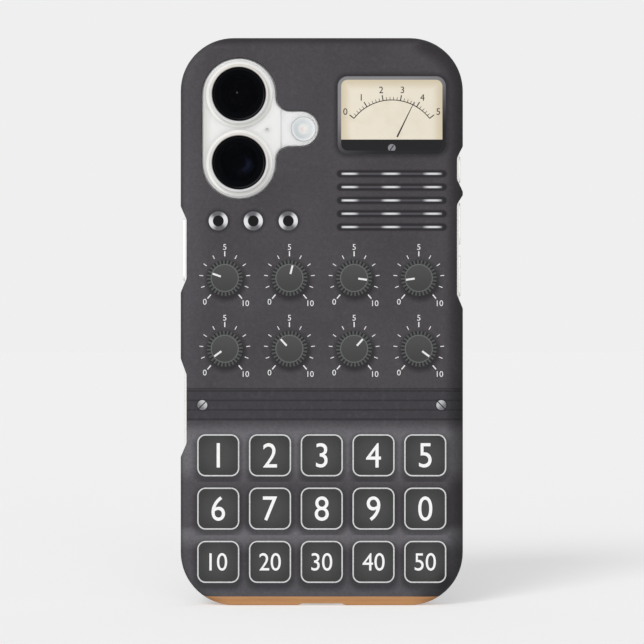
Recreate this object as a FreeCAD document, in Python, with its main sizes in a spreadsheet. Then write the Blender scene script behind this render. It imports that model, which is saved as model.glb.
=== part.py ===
"""A smartphone in a thin hard back case, standing on its bottom edge.

Frame: +Z up the phone, -Y out of the case's back, +X to the right as the back is seen.
The origin is the middle of the bounding box's bottom face. All sizes are in millimetres.
"""

import FreeCAD, Part
import math
import os
import re
import Sketcher

# --- driving dimensions, one spreadsheet cell each ---------------------------------------------

SIZES = {
    # phone and case outlines
    "phone_width": 72.4,
    "phone_height": 147.5,
    "phone_depth": 7.8,
    "phone_corner": 13.0,
    "case_wall": 0.9,
    "case_gap": 0.1,
    "case_edge": 2.4,
    "case_inner_edge": 1.4,
    "case_lip": 0.3,
    "case_lip_round": 0.3,
    # case openings
    "opening_half": 9.9,
    "opening_length": 37.4,
    "tab_half": 4.8,
    "tab_end": 5.45,
    "opening_fillet": 3.4,
    "opening_round": 0.25,
    "scallop_line": 35.56,
    "scallop_fillet": 2.0,
    "notch_half": 5.2,
    "notch_slope": 1.2,
    "notch_depth": 0.6,
    "plug_opening_length": 12.2,
    "plug_opening_width": 6.0,
    "sound_opening_length": 13.6,
    "sound_opening_width": 2.8,
    "sound_opening_side": 15.7,
    # side frame and glasses
    "frame_edge": 1.3,
    "frame_wall": 2.2,
    "glass_proud": 0.3,
    "glass_inset": 1.1,
    "glass_thick": 0.8,
    "glass_gap": 0.08,
    "glass_edge": 0.45,
    "tape_thick": 0.15,
    "tape_width": 0.9,
    "tape_inset": 1.2,
    "web_plane": 2.7,
    "web_thick": 0.4,
    "panel_inset": 2.45,
    "panel_thick": 1.2,
    "mid_plane": 1.5,
    # antenna bands, set into the side frame
    "band_width": 1.1,
    "band_depth": 0.5,
    "band_end_inset": 15.5,
    "band_edge_side": 20.5,
    # sensor island in the display, seen from the front
    "island_side": 2.0,
    "island_level": 141.7,
    "island_length": 22.0,
    "island_width": 5.6,
    "slit_length": 9.0,
    "slit_width": 0.6,
    "slit_inset": 1.55,
    "slit_mesh_gap": 0.05,
    "web_window_width": 25.0,
    "web_window_height": 5.0,
    # camera island on the back glass
    "camera_side": 21.7,
    "camera_level": 125.42,
    "lens_pitch": 17.95,
    "plateau_gap": 0.35,
    "plateau_end": 10.55,
    "plateau_rise": 1.7,
    "plateau_round": 0.6,
    "shelf_rise": 1.0,
    "plateau_foot": 0.4,
    "ring_outer": 7.78,
    "ring_inner": 7.08,
    "ring_seat": 6.3,
    "ring_flange": 8.6,
    "ring_flange_thick": 0.3,
    "ring_rise": 3.3,
    "ring_round": 0.22,
    "ring_gap": 0.05,
    "cover_depth": 0.3,
    "cover_thick": 0.75,
    "cover_gap": 0.04,
    # camera modules
    "module_size": 15.2,
    "module_top": 1.2,
    "module_floor": 2.5,
    "module_base_thick": 0.2,
    "module_corner": 1.0,
    "module_bore": 4.95,
    "chamber_size": 13.0,
    "chamber_top": 1.4,
    "barrel_outer": 4.7,
    "barrel_top": 4.25,
    "barrel_bottom": 1.1,
    "barrel_wall": 0.5,
    "barrel_lip": 0.45,
    "main_pupil": 2.7,
    "wide_pupil": 1.9,
    "crown_share": 0.6,
    "element_thick": 0.6,
    "element_rim": 0.25,
    "element_drop": 0.9,
    "carrier_outer": 12.6,
    "carrier_inner": 11.4,
    "sensor_size": 11.0,
    "sensor_top": 1.6,
    "sensor_bottom": 2.2,
    "cage_width": 17.4,
    "cage_height": 35.4,
    "cage_wall": 0.9,
    "cage_top": 0.4,
    # flash and rear microphone
    "flash_side": 4.78,
    "flash_level": 125.34,
    "flash_radius": 3.15,
    "flash_proud": 0.06,
    "flash_round": 0.12,
    "flash_thick": 1.75,
    "flash_board_size": 7.4,
    "flash_board_wall": 0.5,
    "flash_board_top": 1.0,
    "flash_board_thick": 0.4,
    "led_size": 1.6,
    "led_thick": 0.35,
    "led_side": 1.1,
    "mic_side": 14.3,
    "mic_level": 125.1,
    "mic_hole": 0.4,
    "mic_mesh": 0.7,
    # side buttons, their slots and switches
    "cap_width": 2.7,
    "slot_gap": 0.08,
    "flange_outer": 33.95,
    "flange_inner": 33.4,
    "flange_extra": 0.5,
    "relief_inner": 33.0,
    "button_round": 0.3,
    "dome_top": 33.05,
    "dome_base": 32.75,
    "dome_radius": 1.0,
    "switch_foot": 32.15,
    "switch_size": 3.0,
    "switch_width": 1.8,
    "flex_foot": 32.0,
    "flex_width": 2.4,
    # bottom edge
    "hole_radius": 0.7,
    "hole_first": 10.2,
    "hole_run": 11.0,
    "socket_length": 9.0,
    "socket_width": 3.2,
    "socket_wall": 0.35,
    "socket_gap": 0.05,
    "socket_mouth": 1.4,
    "socket_end": 9.2,
    "socket_back": 0.5,
    "tongue_length": 6.7,
    "tongue_thick": 0.7,
    "tongue_tip": 2.0,
    "screw_side": 7.0,
    "screw_head": 0.92,
    "screw_shank": 0.55,
    "screw_drive": 0.42,
    "screw_drive_depth": 0.3,
    "screw_head_low": 1.15,
    "screw_head_high": 1.75,
    "screw_tip": 4.6,
    "screw_hole_gap": 0.07,
    # charging coil, its shield and the magnets round it
    "coil_inner": 11.0,
    "coil_outer": 21.5,
    "coil_bottom": 1.15,
    "shield_outer": 22.2,
    "shield_bottom": 0.85,
    "magnet_inner": 23.4,
    "magnet_outer": 28.0,
    "magnet_angle": 26.0,
    # loudspeaker and vibration motor
    "room_gap": 0.6,
    "cone_width": 16.0,
    "cone_height": 12.0,
    "cone_gap": 0.3,
    "cone_recess": 0.8,
    "cone_top": 0.55,
    "cone_thick": 0.2,
    "motor_wall": 0.6,
    "motor_lid": 0.25,
    "weight_width": 17.2,
    "weight_height": 8.4,
    "weight_top": 0.35,
    "weight_bottom": 1.85,
    "spring_thick": 0.25,
    "spring_top": 0.2,
    # circuit board
    "board_top": 1.9,
    "board_bottom": 2.5,
    "board_left": 9.8,
    "board_right": 31.5,
    "board_low": 31.0,
    "board_high": 142.0,
    "arm_left": 7.0,
    "arm_low": 104.5,
    "arm_high": 119.0,
    "board_screw_side": 12.2,
    "board_screw_head": 1.1,
    "board_screw_shank": 0.6,
    "board_screw_gap": 0.05,
    "board_screw_rise": 0.4,
    "board_screw_tip": 2.9,
    "boss_radius": 1.6,
    "boss_floor": 3.0,
    # cable from the charging port to the circuit board
    "cable_width": 3.6,
    "cable_back": 1.3,
    "cable_front": 1.5,
    "cable_left": 2.6,
    "cable_right": 23.8,
    "cable_start": 18.0,
    "cable_turn": 24.6,
    # sensors behind the display
    "eye_radius": 1.9,
    "front_camera_radius": 2.3,
}

# Plain blocks: x and z of the middle, width, height, and the y of the back and front faces.
BLOCKS = {
    "battery": (-11.5, 65.8, 40.2, 74.4, -0.7, 2.5),
    "battery_strip_a": (-24.0, 65.8, 7.0, 62.0, 2.5, 2.7),
    "battery_strip_b": (-11.5, 65.8, 7.0, 62.0, 2.5, 2.7),
    "battery_strip_c": (1.0, 65.8, 7.0, 62.0, 2.5, 2.7),
    "shield_low": (22.4, 51.0, 15.8, 32.0, 0.3, 1.9),
    "shield_mid": (22.4, 88.0, 15.8, 34.0, 0.3, 1.9),
    "shield_high": (22.4, 124.5, 15.8, 31.0, 0.3, 1.9),
    "connector_a": (-3.0, 107.2, 6.4, 2.0, 1.0, 1.9),
    "connector_b": (-3.0, 111.2, 6.4, 2.0, 1.0, 1.9),
    "connector_c": (-3.0, 115.2, 6.4, 2.0, 1.0, 1.9),
    "connector_d": (22.0, 33.0, 7.6, 2.0, 1.0, 1.9),
    "connector_e": (6.4, 112.0, 2.4, 7.6, 1.0, 1.9),
    "port_board": (0.0, 13.9, 15.0, 9.4, 1.2, 1.7),
    "bottom_microphone": (9.8, 4.35, 2.4, 2.0, 0.6, 2.4),
    "mesh_left": (-15.7, 3.275, 13.0, 0.15, 0.4, 2.6),
    "mesh_right": (15.7, 3.275, 13.0, 0.15, 0.4, 2.6),
    "loudspeaker": (-21.3, 15.0, 24.2, 22.4, -0.9, 2.7),
    "motor_tray": (20.3, 12.2, 20.8, 11.4, -0.7, 2.7),
    "earpiece_speaker": (-0.3, 141.9, 4.6, 8.0, -0.9, 2.7),
    "front_camera": (6.3, 141.7, 6.6, 6.6, -0.3, 2.7),
    "depth_sensors": (-8.2, 141.7, 8.8, 5.8, 0.3, 2.7),
    "rear_microphone": (-14.35, 125.3, 3.0, 1.8, -1.45, -0.6),
}
BLOCK_KEYS = ("x", "z", "width", "height", "back", "front")

# Side buttons: which flank (+1 is the right one from behind), middle z, length, how far proud.
BUTTONS = {
    "action_button": (1, 114.9, 7.0, 0.5),
    "volume_up_button": (1, 100.6, 11.0, 0.5),
    "volume_down_button": (1, 86.9, 11.0, 0.5),
    "power_button": (-1, 93.8, 16.5, 0.5),
    "camera_control": (-1, 51.9, 19.0, 0.12),
}

# Finger cut-outs of the case: flank, then z where each starts at the edge and where its floor lies.
SCALLOPS = {
    "action": (1, 108.9, 112.1, 117.8, 121.0),
    "volume": (1, 78.1, 81.8, 105.6, 108.1),
    "power": (-1, 82.3, 86.0, 101.6, 105.2),
    "control": (-1, 39.0, 42.7, 60.9, 65.1),
}
SCALLOP_KEYS = ("low", "floor", "roof", "high")

# Flex cables behind the buttons: flank, lowest z, highest z.
FLEXES = {"flex_right": (1, 80.0, 120.0), "flex_power": (-1, 83.0, 104.0), "flex_control": (-1, 41.0, 63.0)}

BOARD_SCREW_LEVELS = (34.5, 70.0, 102.5, 139.0)
SOUND_HOLES = 6
MAGNETS = 12
MAGNET_START = 15.0

# How close an edge must lie to the place where it is looked for, and the least that a cut takes away.
NEAR = 1e-3
LEAST_CUT = 1e-4

for block, numbers in BLOCKS.items():
    SIZES.update({f"{block}_{key}": number for key, number in zip(BLOCK_KEYS, numbers)})
for button, (_, level, length, proud) in BUTTONS.items():
    SIZES.update({f"{button}_level": level, f"{button}_length": length, f"{button}_proud": proud})
for scallop, (_, *levels) in SCALLOPS.items():
    SIZES.update({f"scallop_{scallop}_{key}": level for key, level in zip(SCALLOP_KEYS, levels)})
for flex, (_, low, high) in FLEXES.items():
    SIZES.update({f"{flex}_low": low, f"{flex}_high": high})

# --- planes worked out from the driving dimensions ---------------------------------------------

HALF_DEPTH = "(ring_rise + phone_depth + case_lip)/2"
FRONT = f"({HALF_DEPTH} - case_lip)"
BACK = f"(ring_rise - {HALF_DEPTH})"
FRAME_FRONT = f"({FRONT} - glass_proud)"
FRAME_BACK = f"({BACK} + glass_proud)"
BACK_SEAT = f"({BACK} + glass_thick + tape_thick)"
FRONT_SEAT = f"({FRONT} - glass_thick - tape_thick)"
CASE_FLOOR = f"({BACK} - case_gap)"
CASE_BACK = f"({CASE_FLOOR} - case_wall)"
CASE_FRONT = f"({FRONT} + case_lip)"
PHONE_BOTTOM = "(case_wall + case_gap)"
MIDDLE = f"({PHONE_BOTTOM} + phone_height/2)"
CAVITY_BOTTOM = f"({PHONE_BOTTOM} + frame_wall)"
FLANK = "(phone_width/2)"
CAVITY_FLANK = f"({FLANK} - frame_wall)"
EDGE = f"({FLANK} + case_gap + case_wall)"
LENS_LEVELS = {"main": "(camera_level + lens_pitch/2)", "wide": "(camera_level - lens_pitch/2)"}
RING_TOP = f"({BACK} - ring_rise)"
COVER_TOP = f"({RING_TOP} + cover_depth)"
COVER_BOTTOM = f"({COVER_TOP} + cover_thick)"
PLATEAU_TOP = f"({BACK} - plateau_rise)"
SHELF = f"({BACK} - shelf_rise)"
GLASS_INNER = f"({BACK} + glass_thick)"
FLANGE_BOTTOM = f"({GLASS_INNER} + ring_flange_thick)"
FRONT_INNER = f"({FRONT} - glass_thick)"
WEB_FRONT = "(web_plane + web_thick)"
PHONE_TOP = f"({PHONE_BOTTOM} + phone_height)"

DOC = FreeCAD.newDocument("cased_phone")
SHEET = DOC.addObject("Spreadsheet::Sheet", "Sizes")


# --- the sheet and its expressions --------------------------------------------------------------


def fill_sheet():
    """Writes each driving dimension into column B, with its alias, and its name into column A."""
    for row, (alias, number) in enumerate(SIZES.items(), start=1):
        SHEET.set(f"A{row}", alias)
        SHEET.set(f"B{row}", str(number))
        SHEET.setAlias(f"B{row}", alias)
    DOC.recompute()


def cell(text):
    """An expression in which every alias points into the sheet."""
    return re.sub(r"[a-z]\w*", lambda word: f"Sizes.{word.group()}", str(text))


def value(text):
    """The number an expression gives now, in millimetres."""
    return float(SHEET.evalExpression(cell(text)))


# --- outlines: each draws itself round a sketch's own origin ------------------------------------


def dimension(sketch, name, constraint, text):
    """Adds a constraint and binds its value to an expression."""
    number = sketch.addConstraint(constraint)
    sketch.renameConstraint(number, name)
    sketch.setExpression(f"Constraints.{name}", cell(text))


def arc(centre_u, centre_v, radius, start):
    """A quarter arc from the angle start, in degrees."""
    circle = Part.Circle(FreeCAD.Vector(centre_u, centre_v, 0), FreeCAD.Vector(0, 0, 1), radius)
    return Part.ArcOfCircle(circle, math.radians(start), math.radians(start + 90))


def line(start, end):
    """A straight line between two (u, v) points."""
    return Part.LineSegment(FreeCAD.Vector(*start, 0), FreeCAD.Vector(*end, 0))


def rounded(width, height, corner):
    """A rectangle with round corners."""

    def draw(sketch):
        side, top, radius = value(width) / 2, value(height) / 2, value(corner)
        u, v = side - radius, top - radius
        starts = [(-u, -top), (side, -v), (u, top), (-side, v)]
        ends = [(u, -top), (side, v), (-u, top), (-side, -v)]
        sketch.addGeometry([line(*pair) for pair in zip(starts, ends)], False)
        corners = [(u, -v, -90), (u, v, 0), (-u, v, 90), (-u, -v, 180)]
        sketch.addGeometry([arc(cu, cv, radius, start) for cu, cv, start in corners], False)
        rules = []
        for number in range(4):
            rules.append(Sketcher.Constraint("Tangent", number, 2, number + 4, 1))
            rules.append(Sketcher.Constraint("Tangent", number + 4, 2, (number + 1) % 4, 1))
            rules.append(Sketcher.Constraint(("Horizontal", "Vertical")[number % 2], number))
        rules += [Sketcher.Constraint("Equal", 4, other) for other in (5, 6, 7)]
        rules.append(Sketcher.Constraint("Symmetric", 4, 3, 6, 3, -1, 1))
        sketch.addConstraint(rules)
        dimension(sketch, "corner", Sketcher.Constraint("Radius", 4, radius), corner)
        dimension(sketch, "width", Sketcher.Constraint("DistanceX", 3, 1, 1, 1, 2 * side), width)
        dimension(sketch, "height", Sketcher.Constraint("DistanceY", 0, 1, 2, 1, 2 * top), height)

    return draw


def rectangle(width, height):
    """A rectangle with sharp corners."""

    def draw(sketch):
        side, top = value(width) / 2, value(height) / 2
        points = [(-side, -top), (side, -top), (side, top), (-side, top)]
        sketch.addGeometry([line(points[i], points[(i + 1) % 4]) for i in range(4)], False)
        rules = []
        for number in range(4):
            rules.append(Sketcher.Constraint("Coincident", number, 2, (number + 1) % 4, 1))
            rules.append(Sketcher.Constraint(("Horizontal", "Vertical")[number % 2], number))
        rules.append(Sketcher.Constraint("Symmetric", 0, 1, 2, 1, -1, 1))
        sketch.addConstraint(rules)
        dimension(sketch, "width", Sketcher.Constraint("DistanceX", 0, 1, 0, 2, 2 * side), width)
        dimension(sketch, "height", Sketcher.Constraint("DistanceY", 1, 1, 1, 2, 2 * top), height)

    return draw


def stadium(length, width, upright=True):
    """A slot with half-round ends; length is the overall one."""

    def draw(sketch):
        radius = value(width) / 2
        reach = value(length) / 2 - radius
        turn = 0 if upright else 90

        def spot(along, across):
            return (across, along) if upright else (-along, across)

        def cap(along, start):
            u, v = spot(along, 0)
            circle = Part.Circle(FreeCAD.Vector(u, v, 0), FreeCAD.Vector(0, 0, 1), radius)
            return Part.ArcOfCircle(circle, math.radians(start + turn), math.radians(start + turn + 180))

        sketch.addGeometry(line(spot(-reach, radius), spot(reach, radius)), False)
        sketch.addGeometry(cap(reach, 0), False)
        sketch.addGeometry(line(spot(reach, -radius), spot(-reach, -radius)), False)
        sketch.addGeometry(cap(-reach, 180), False)
        joints = [(0, 2, 1, 1), (1, 2, 2, 1), (2, 2, 3, 1), (3, 2, 0, 1)]
        rules = [Sketcher.Constraint("Tangent", *joint) for joint in joints]
        rules.append(Sketcher.Constraint("Vertical" if upright else "Horizontal", 0))
        rules.append(Sketcher.Constraint("Equal", 1, 3))
        rules.append(Sketcher.Constraint("Symmetric", 1, 3, 3, 3, -1, 1))
        sketch.addConstraint(rules)
        dimension(sketch, "radius", Sketcher.Constraint("Radius", 1, radius), f"({width})/2")
        between = Sketcher.Constraint("Distance", 1, 3, 3, 3, 2 * reach)
        dimension(sketch, "between", between, f"({length}) - ({width})")

    return draw


def disc(radius):
    """A circle."""

    def draw(sketch):
        circle = Part.Circle(FreeCAD.Vector(0, 0, 0), FreeCAD.Vector(0, 0, 1), value(radius))
        sketch.addGeometry(circle, False)
        sketch.addConstraint(Sketcher.Constraint("Coincident", 0, 3, -1, 1))
        dimension(sketch, "radius", Sketcher.Constraint("Radius", 0, value(radius)), radius)

    return draw


def polygon(points):
    """A closed polygon; each point is a pair of expressions."""

    def draw(sketch):
        spots = [(value(u), value(v)) for u, v in points]
        count = len(spots)
        sketch.addGeometry([line(spots[i], spots[(i + 1) % count]) for i in range(count)], False)
        for i, (u, v) in enumerate(points):
            sketch.addConstraint(Sketcher.Constraint("Coincident", i, 2, (i + 1) % count, 1))
            dimension(sketch, f"across{i}", Sketcher.Constraint("DistanceX", -1, 1, i, 1, spots[i][0]), u)
            dimension(sketch, f"along{i}", Sketcher.Constraint("DistanceY", -1, 1, i, 1, spots[i][1]), v)

    return draw


# --- features -----------------------------------------------------------------------------------


def new_body(label):
    """An empty PartDesign body with that label."""
    body = DOC.addObject("PartDesign::Body", label)
    body.Label = label
    return body


def sketch_on(body, name, plane, centre, offset, outline):
    """A sketch on one of the body's origin planes, moved to centre and along the plane's normal."""
    sketch = body.newObject("Sketcher::SketchObject", f"{body.Name}_{name}_sketch")
    origin_plane = next(f for f in body.Origin.OriginFeatures if f.Role == plane)
    sketch.AttachmentSupport = (origin_plane, [""])
    sketch.MapMode = "FlatFace"
    for axis, text in zip("xyz", (*centre, offset)):
        sketch.setExpression(f"AttachmentOffset.Base.{axis}", cell(text))
    outline(sketch)
    return sketch


def extrude(body, kind, name, plane, centre, outline, span):
    """A pad or pocket of the outline over a span of the plane's own axis.

    The XZ plane's normal is -Y, so a span of y is turned round there."""
    low, high = span
    if plane == "XZ_Plane":
        low, high = f"-({high})", f"-({low})"
    sketch = sketch_on(body, name, plane, centre, low if kind == "Pad" else high, outline)
    feature = body.newObject(f"PartDesign::{kind}", f"{body.Name}_{name}")
    feature.Profile = sketch
    feature.setExpression("Length", cell(f"({high}) - ({low})"))
    return feature


def pad(body, name, plane, centre, outline, span):
    """Adds material over a span of the plane's own axis."""
    return extrude(body, "Pad", name, plane, centre, outline, span)


def pocket(body, name, plane, centre, outline, span):
    """Takes material away over a span of the plane's own axis, and checks that it did."""
    DOC.recompute()
    before = body.Shape.Volume
    feature = extrude(body, "Pocket", name, plane, centre, outline, span)
    DOC.recompute()
    if body.Shape.Volume > before - LEAST_CUT:
        raise RuntimeError(f"{feature.Name} cuts nothing")
    return feature


def turned(label, centre, points):
    """A body turned about an axis along Y through (x, z); each point is (radius, y)."""
    body = new_body(label)
    x, z = centre
    sketch = sketch_on(body, "profile", "XY_Plane", (x, "0"), z, polygon(points))
    feature = body.newObject("PartDesign::Revolution", f"{label}_turn")
    feature.Profile = sketch
    feature.ReferenceAxis = (sketch, ["V_Axis"])
    feature.Angle = 360
    return body


def fillet(body, name, radius, wanted):
    """Rounds the edges of the body's tip for which wanted(edge) is true."""
    DOC.recompute()
    base = body.Tip
    edges = [f"Edge{i}" for i, edge in enumerate(base.Shape.Edges, start=1) if wanted(edge)]
    if not edges:
        raise RuntimeError(f"{body.Name}: no edge to round for {name}")
    feature = body.newObject("PartDesign::Fillet", f"{body.Name}_{name}")
    feature.Base = (base, edges)
    feature.setExpression("Radius", cell(radius))
    return feature


def lies_at(axis, text):
    """Picks the edges that lie in the plane where that axis has that value."""
    where = value(text)

    def test(edge):
        low = getattr(edge.BoundBox, f"{axis.upper()}Min")
        high = getattr(edge.BoundBox, f"{axis.upper()}Max")
        return abs(low - where) < NEAR and abs(high - where) < NEAR

    return test


def along_y_at(x_text, z_text=None):
    """Picks the straight edges along Y at a distance from x = 0, and at a height if one is given."""
    x = value(x_text)
    z = None if z_text is None else value(z_text)

    def test(edge):
        bounds = edge.BoundBox
        if max(bounds.XLength, bounds.ZLength) > NEAR or bounds.YLength < NEAR:
            return False
        return abs(abs(bounds.Center.x) - abs(x)) < NEAR and (z is None or abs(bounds.Center.z - z) < NEAR)

    return test


def either(*tests):
    """Picks the edges that any of the tests picks."""
    return lambda edge: any(test(edge) for test in tests)


def slab(inset):
    """The phone's own outline, taken in by an inset."""
    width, height = f"phone_width - 2*({inset})", f"phone_height - 2*({inset})"
    return rounded(width, height, f"phone_corner - ({inset})")


def sided(side, low, high):
    """A span along X on the right flank, or its mirror image on the left one."""
    return (low, high) if side > 0 else (f"-({high})", f"-({low})")


def around(middle, size):
    """The span of a size about its middle."""
    return (f"{middle} - ({size})/2", f"{middle} + ({size})/2")


def group(label, members):
    """Several separate solids that share one node."""
    compound = DOC.addObject("Part::Compound", label)
    compound.Label = label
    compound.Links = members
    return compound


def block(name):
    """A plain block from the sheet's cells."""
    body = new_body(name)
    outline = rectangle(f"{name}_width", f"{name}_height")
    pad(body, "block", "XZ_Plane", (f"{name}_x", f"{name}_z"), outline, (f"{name}_back", f"{name}_front"))
    return body


def primitive(kind, label, place, **sizes):
    """A Part primitive whose sizes and place are bound to the sheet."""
    shape = DOC.addObject(f"Part::{kind}", label)
    for name, text in sizes.items():
        shape.setExpression(name, cell(text))
    for axis, text in zip("xyz", place):
        shape.setExpression(f"Placement.Base.{axis}", cell(text))
    return shape


def box(label, spans):
    """A Part box from its (low, high) spans along x, y and z."""
    names = ("Length", "Width", "Height")
    sizes = {name: f"({high}) - ({low})" for name, (low, high) in zip(names, spans)}
    return primitive("Box", label, [low for low, _ in spans], **sizes)


def boolean(kind, label, base, tool):
    """A Part cut, common or fuse of two shapes."""
    result = DOC.addObject(f"Part::{kind}", label)
    result.Label = label
    result.Base, result.Tool = base, tool
    return result


# --- case ---------------------------------------------------------------------------------------

BEHIND = f"({CASE_BACK} - case_wall)"


def camera_opening(body, name, extra, span, act):
    """Pads or pockets the camera opening's two overlapping slots, grown by extra."""
    pill = stadium(f"opening_length + 2*({extra})", f"2*(opening_half + ({extra}))")
    act(body, f"{name}_pill", "XZ_Plane", ("-camera_side", "camera_level"), pill, span)
    reach = f"camera_side - tab_end + 2*(tab_half + ({extra}))"
    tab = stadium(reach, f"2*(tab_half + ({extra}))", upright=False)
    act(body, f"{name}_tab", "XZ_Plane", ("-(camera_side + tab_end)/2", "camera_level"), tab, span)


def opening_crotches(extra):
    """Picks the two edges where the tab's sides meet the long side of the grown camera opening."""
    across = f"-camera_side + opening_half + ({extra})"
    above, below = (f"camera_level {sign} (tab_half + ({extra}))" for sign in "+-")
    return either(along_y_at(across, above), along_y_at(across, below))


def beside_camera(y_text, length):
    """Picks the edges in a plane across Y that stay within a length about the camera's level."""
    low, high = (value(text) for text in around("camera_level", length))
    in_plane = lies_at("y", y_text)

    def test(edge):
        bounds = edge.BoundBox
        return in_plane(edge) and low - NEAR < bounds.ZMin and bounds.ZMax < high + NEAR

    return test


def cut_scallop(body, name):
    """Cuts one finger opening: a flat floor with a slope at each end, right through the side wall."""
    side = SCALLOPS[name][0]
    low, floor, roof, high = (f"scallop_{name}_{key}" for key in SCALLOP_KEYS)
    inner, edge, outside = (f"{side}*({x})" for x in ("scallop_line", EDGE, f"{EDGE} + case_wall"))
    points = [(inner, floor), (inner, roof), (edge, high), (outside, high), (outside, low), (edge, low)]
    pocket(body, f"scallop_{name}", "XZ_Plane", ("0", "0"), polygon(points), (BEHIND, CASE_FRONT))


def cut_bottom(body):
    """Cuts the shallow notch under the port and the openings for the plug and the sound."""
    wide = "notch_half + notch_slope"
    points = [("notch_half", "notch_depth"), (wide, "0"), (wide, "-case_wall")]
    mirrored = [(f"-({x})", z) for x, z in reversed(points)]
    pocket(body, "notch", "XZ_Plane", ("0", "0"), polygon(points + mirrored), (BEHIND, CASE_FRONT))
    wall = ("-case_wall", PHONE_BOTTOM)
    plug = stadium("plug_opening_length", "plug_opening_width", upright=False)
    pocket(body, "plug_opening", "XY_Plane", ("0", "mid_plane"), plug, wall)
    for sign, name in (("-", "left"), ("", "right")):
        at = (f"{sign}sound_opening_side", "mid_plane")
        slot = stadium("sound_opening_length", "sound_opening_width", upright=False)
        pocket(body, f"sound_opening_{name}", "XY_Plane", at, slot, wall)


def hard_case():
    """The hard shell: a tray with a camera opening, finger cut-outs and openings at the bottom."""
    body = new_body("hard_case")
    at = ("0", MIDDLE)
    pad(body, "shell", "XZ_Plane", at, slab("-(case_gap + case_wall)"), (CASE_BACK, CASE_FRONT))
    fillet(body, "back_edge", "case_edge", lies_at("y", CASE_BACK))
    fillet(body, "front_edge", "case_lip_round", lies_at("y", CASE_FRONT))
    pocket(body, "cavity", "XZ_Plane", at, slab("-case_gap"), (CASE_FLOOR, CASE_FRONT))
    fillet(body, "cavity_edge", "case_inner_edge", lies_at("y", CASE_FLOOR))
    camera_opening(body, "opening", "0", (BEHIND, CASE_FLOOR), pocket)
    fillet(body, "opening_crotch", "opening_fillet", opening_crotches("0"))
    fillet(body, "opening_edge", "opening_round", beside_camera(CASE_BACK, "opening_length"))
    for name in SCALLOPS:
        cut_scallop(body, name)
    fillet(body, "scallop_corners", "scallop_fillet", along_y_at("scallop_line"))
    cut_bottom(body)
    return body


# --- side frame ---------------------------------------------------------------------------------

BOTTOM_WALL_SPAN = ("0", f"{CAVITY_BOTTOM} + slot_gap")
WEB_SPAN = ("web_plane", WEB_FRONT)


def cut_rooms(body):
    """Cuts the seats of the two glasses and the rooms on both sides of the web."""
    at = ("0", MIDDLE)
    seat, room = slab("glass_inset - glass_gap"), slab("frame_wall")
    pocket(body, "back_seat", "XZ_Plane", at, seat, (FRAME_BACK, BACK_SEAT))
    pocket(body, "back_room", "XZ_Plane", at, room, (BACK_SEAT, "web_plane"))
    pocket(body, "front_seat", "XZ_Plane", at, seat, (FRONT_SEAT, FRAME_FRONT))
    pocket(body, "front_room", "XZ_Plane", at, room, (WEB_FRONT, FRONT_SEAT))


def cut_web(body):
    """Cuts the web clear of the front sensors, the port's shell and the buttons' flanges."""
    window = rectangle("web_window_width", "web_window_height")
    pocket(body, "web_window", "XZ_Plane", ("0", "front_camera_z"), window, WEB_SPAN)
    port = rectangle("socket_length + 2*slot_gap", f"socket_end + slot_gap - {CAVITY_BOTTOM}")
    port_at = ("0", f"({CAVITY_BOTTOM} + socket_end + slot_gap)/2")
    pocket(body, "web_port", "XZ_Plane", port_at, port, WEB_SPAN)
    for name, (side, *_) in BUTTONS.items():
        strip = rectangle(f"{CAVITY_FLANK} - relief_inner", f"{name}_length + 2*(flange_extra + slot_gap)")
        middle = f"{side}*({CAVITY_FLANK} + relief_inner)/2"
        pocket(body, f"web_{name}", "XZ_Plane", (middle, f"{name}_level"), strip, WEB_SPAN)


def cut_wall(body):
    """Cuts the wall's openings: button slots, port slot, sound holes and screw holes."""
    for name, (side, *_) in BUTTONS.items():
        slot = stadium(f"{name}_length + 2*slot_gap", "cap_width + 2*slot_gap")
        across = sided(side, f"{CAVITY_FLANK} - slot_gap", f"{FLANK} + slot_gap")
        pocket(body, f"{name}_slot", "YZ_Plane", ("mid_plane", f"{name}_level"), slot, across)
    port = stadium("socket_length + 2*socket_gap", "socket_width + 2*socket_gap", upright=False)
    pocket(body, "port_slot", "XY_Plane", ("0", "mid_plane"), port, BOTTOM_WALL_SPAN)
    for sign, name in (("-", "left"), ("", "right")):
        first = (f"{sign}hole_first", "mid_plane")
        hole = pocket(body, f"sound_hole_{name}", "XY_Plane", first, disc("hole_radius"), BOTTOM_WALL_SPAN)
        row = body.newObject("PartDesign::LinearPattern", f"sound_holes_{name}")
        row.Originals = [hole]
        row.Direction = (hole.Profile[0], ["H_Axis"])
        row.Reversed = sign == "-"
        row.setExpression("Length", cell("hole_run"))
        row.Occurrences = SOUND_HOLES
        body.Tip = row
        at = (f"{sign}screw_side", "mid_plane")
        low, high = BOTTOM_WALL_SPAN
        sink, bore = disc("screw_head + screw_hole_gap"), disc("screw_shank + screw_hole_gap")
        pocket(body, f"screw_sink_{name}", "XY_Plane", at, sink, (low, "screw_head_high"))
        pocket(body, f"screw_bore_{name}", "XY_Plane", at, bore, ("screw_head_high", high))


def add_bosses(body):
    """Adds the bored bosses on the web that the circuit board is screwed to."""
    for number, level in enumerate(BOARD_SCREW_LEVELS):
        at = ("board_screw_side", str(level))
        pad(body, f"boss_{number}", "XZ_Plane", at, disc("boss_radius"), ("board_bottom", WEB_FRONT))
        bore = disc("board_screw_shank + board_screw_gap")
        pocket(body, f"boss_bore_{number}", "XZ_Plane", at, bore, ("board_bottom", "boss_floor"))


def frame_blank():
    """The metal frame before the antenna bands are let into it: a band round a web."""
    body = new_body("frame_blank")
    pad(body, "band", "XZ_Plane", ("0", MIDDLE), slab("0"), (FRAME_BACK, FRAME_FRONT))
    fillet(body, "back_edge", "frame_edge", lies_at("y", FRAME_BACK))
    fillet(body, "front_edge", "frame_edge", lies_at("y", FRAME_FRONT))
    cut_rooms(body)
    cut_web(body)
    cut_wall(body)
    add_bosses(body)
    return body


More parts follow.
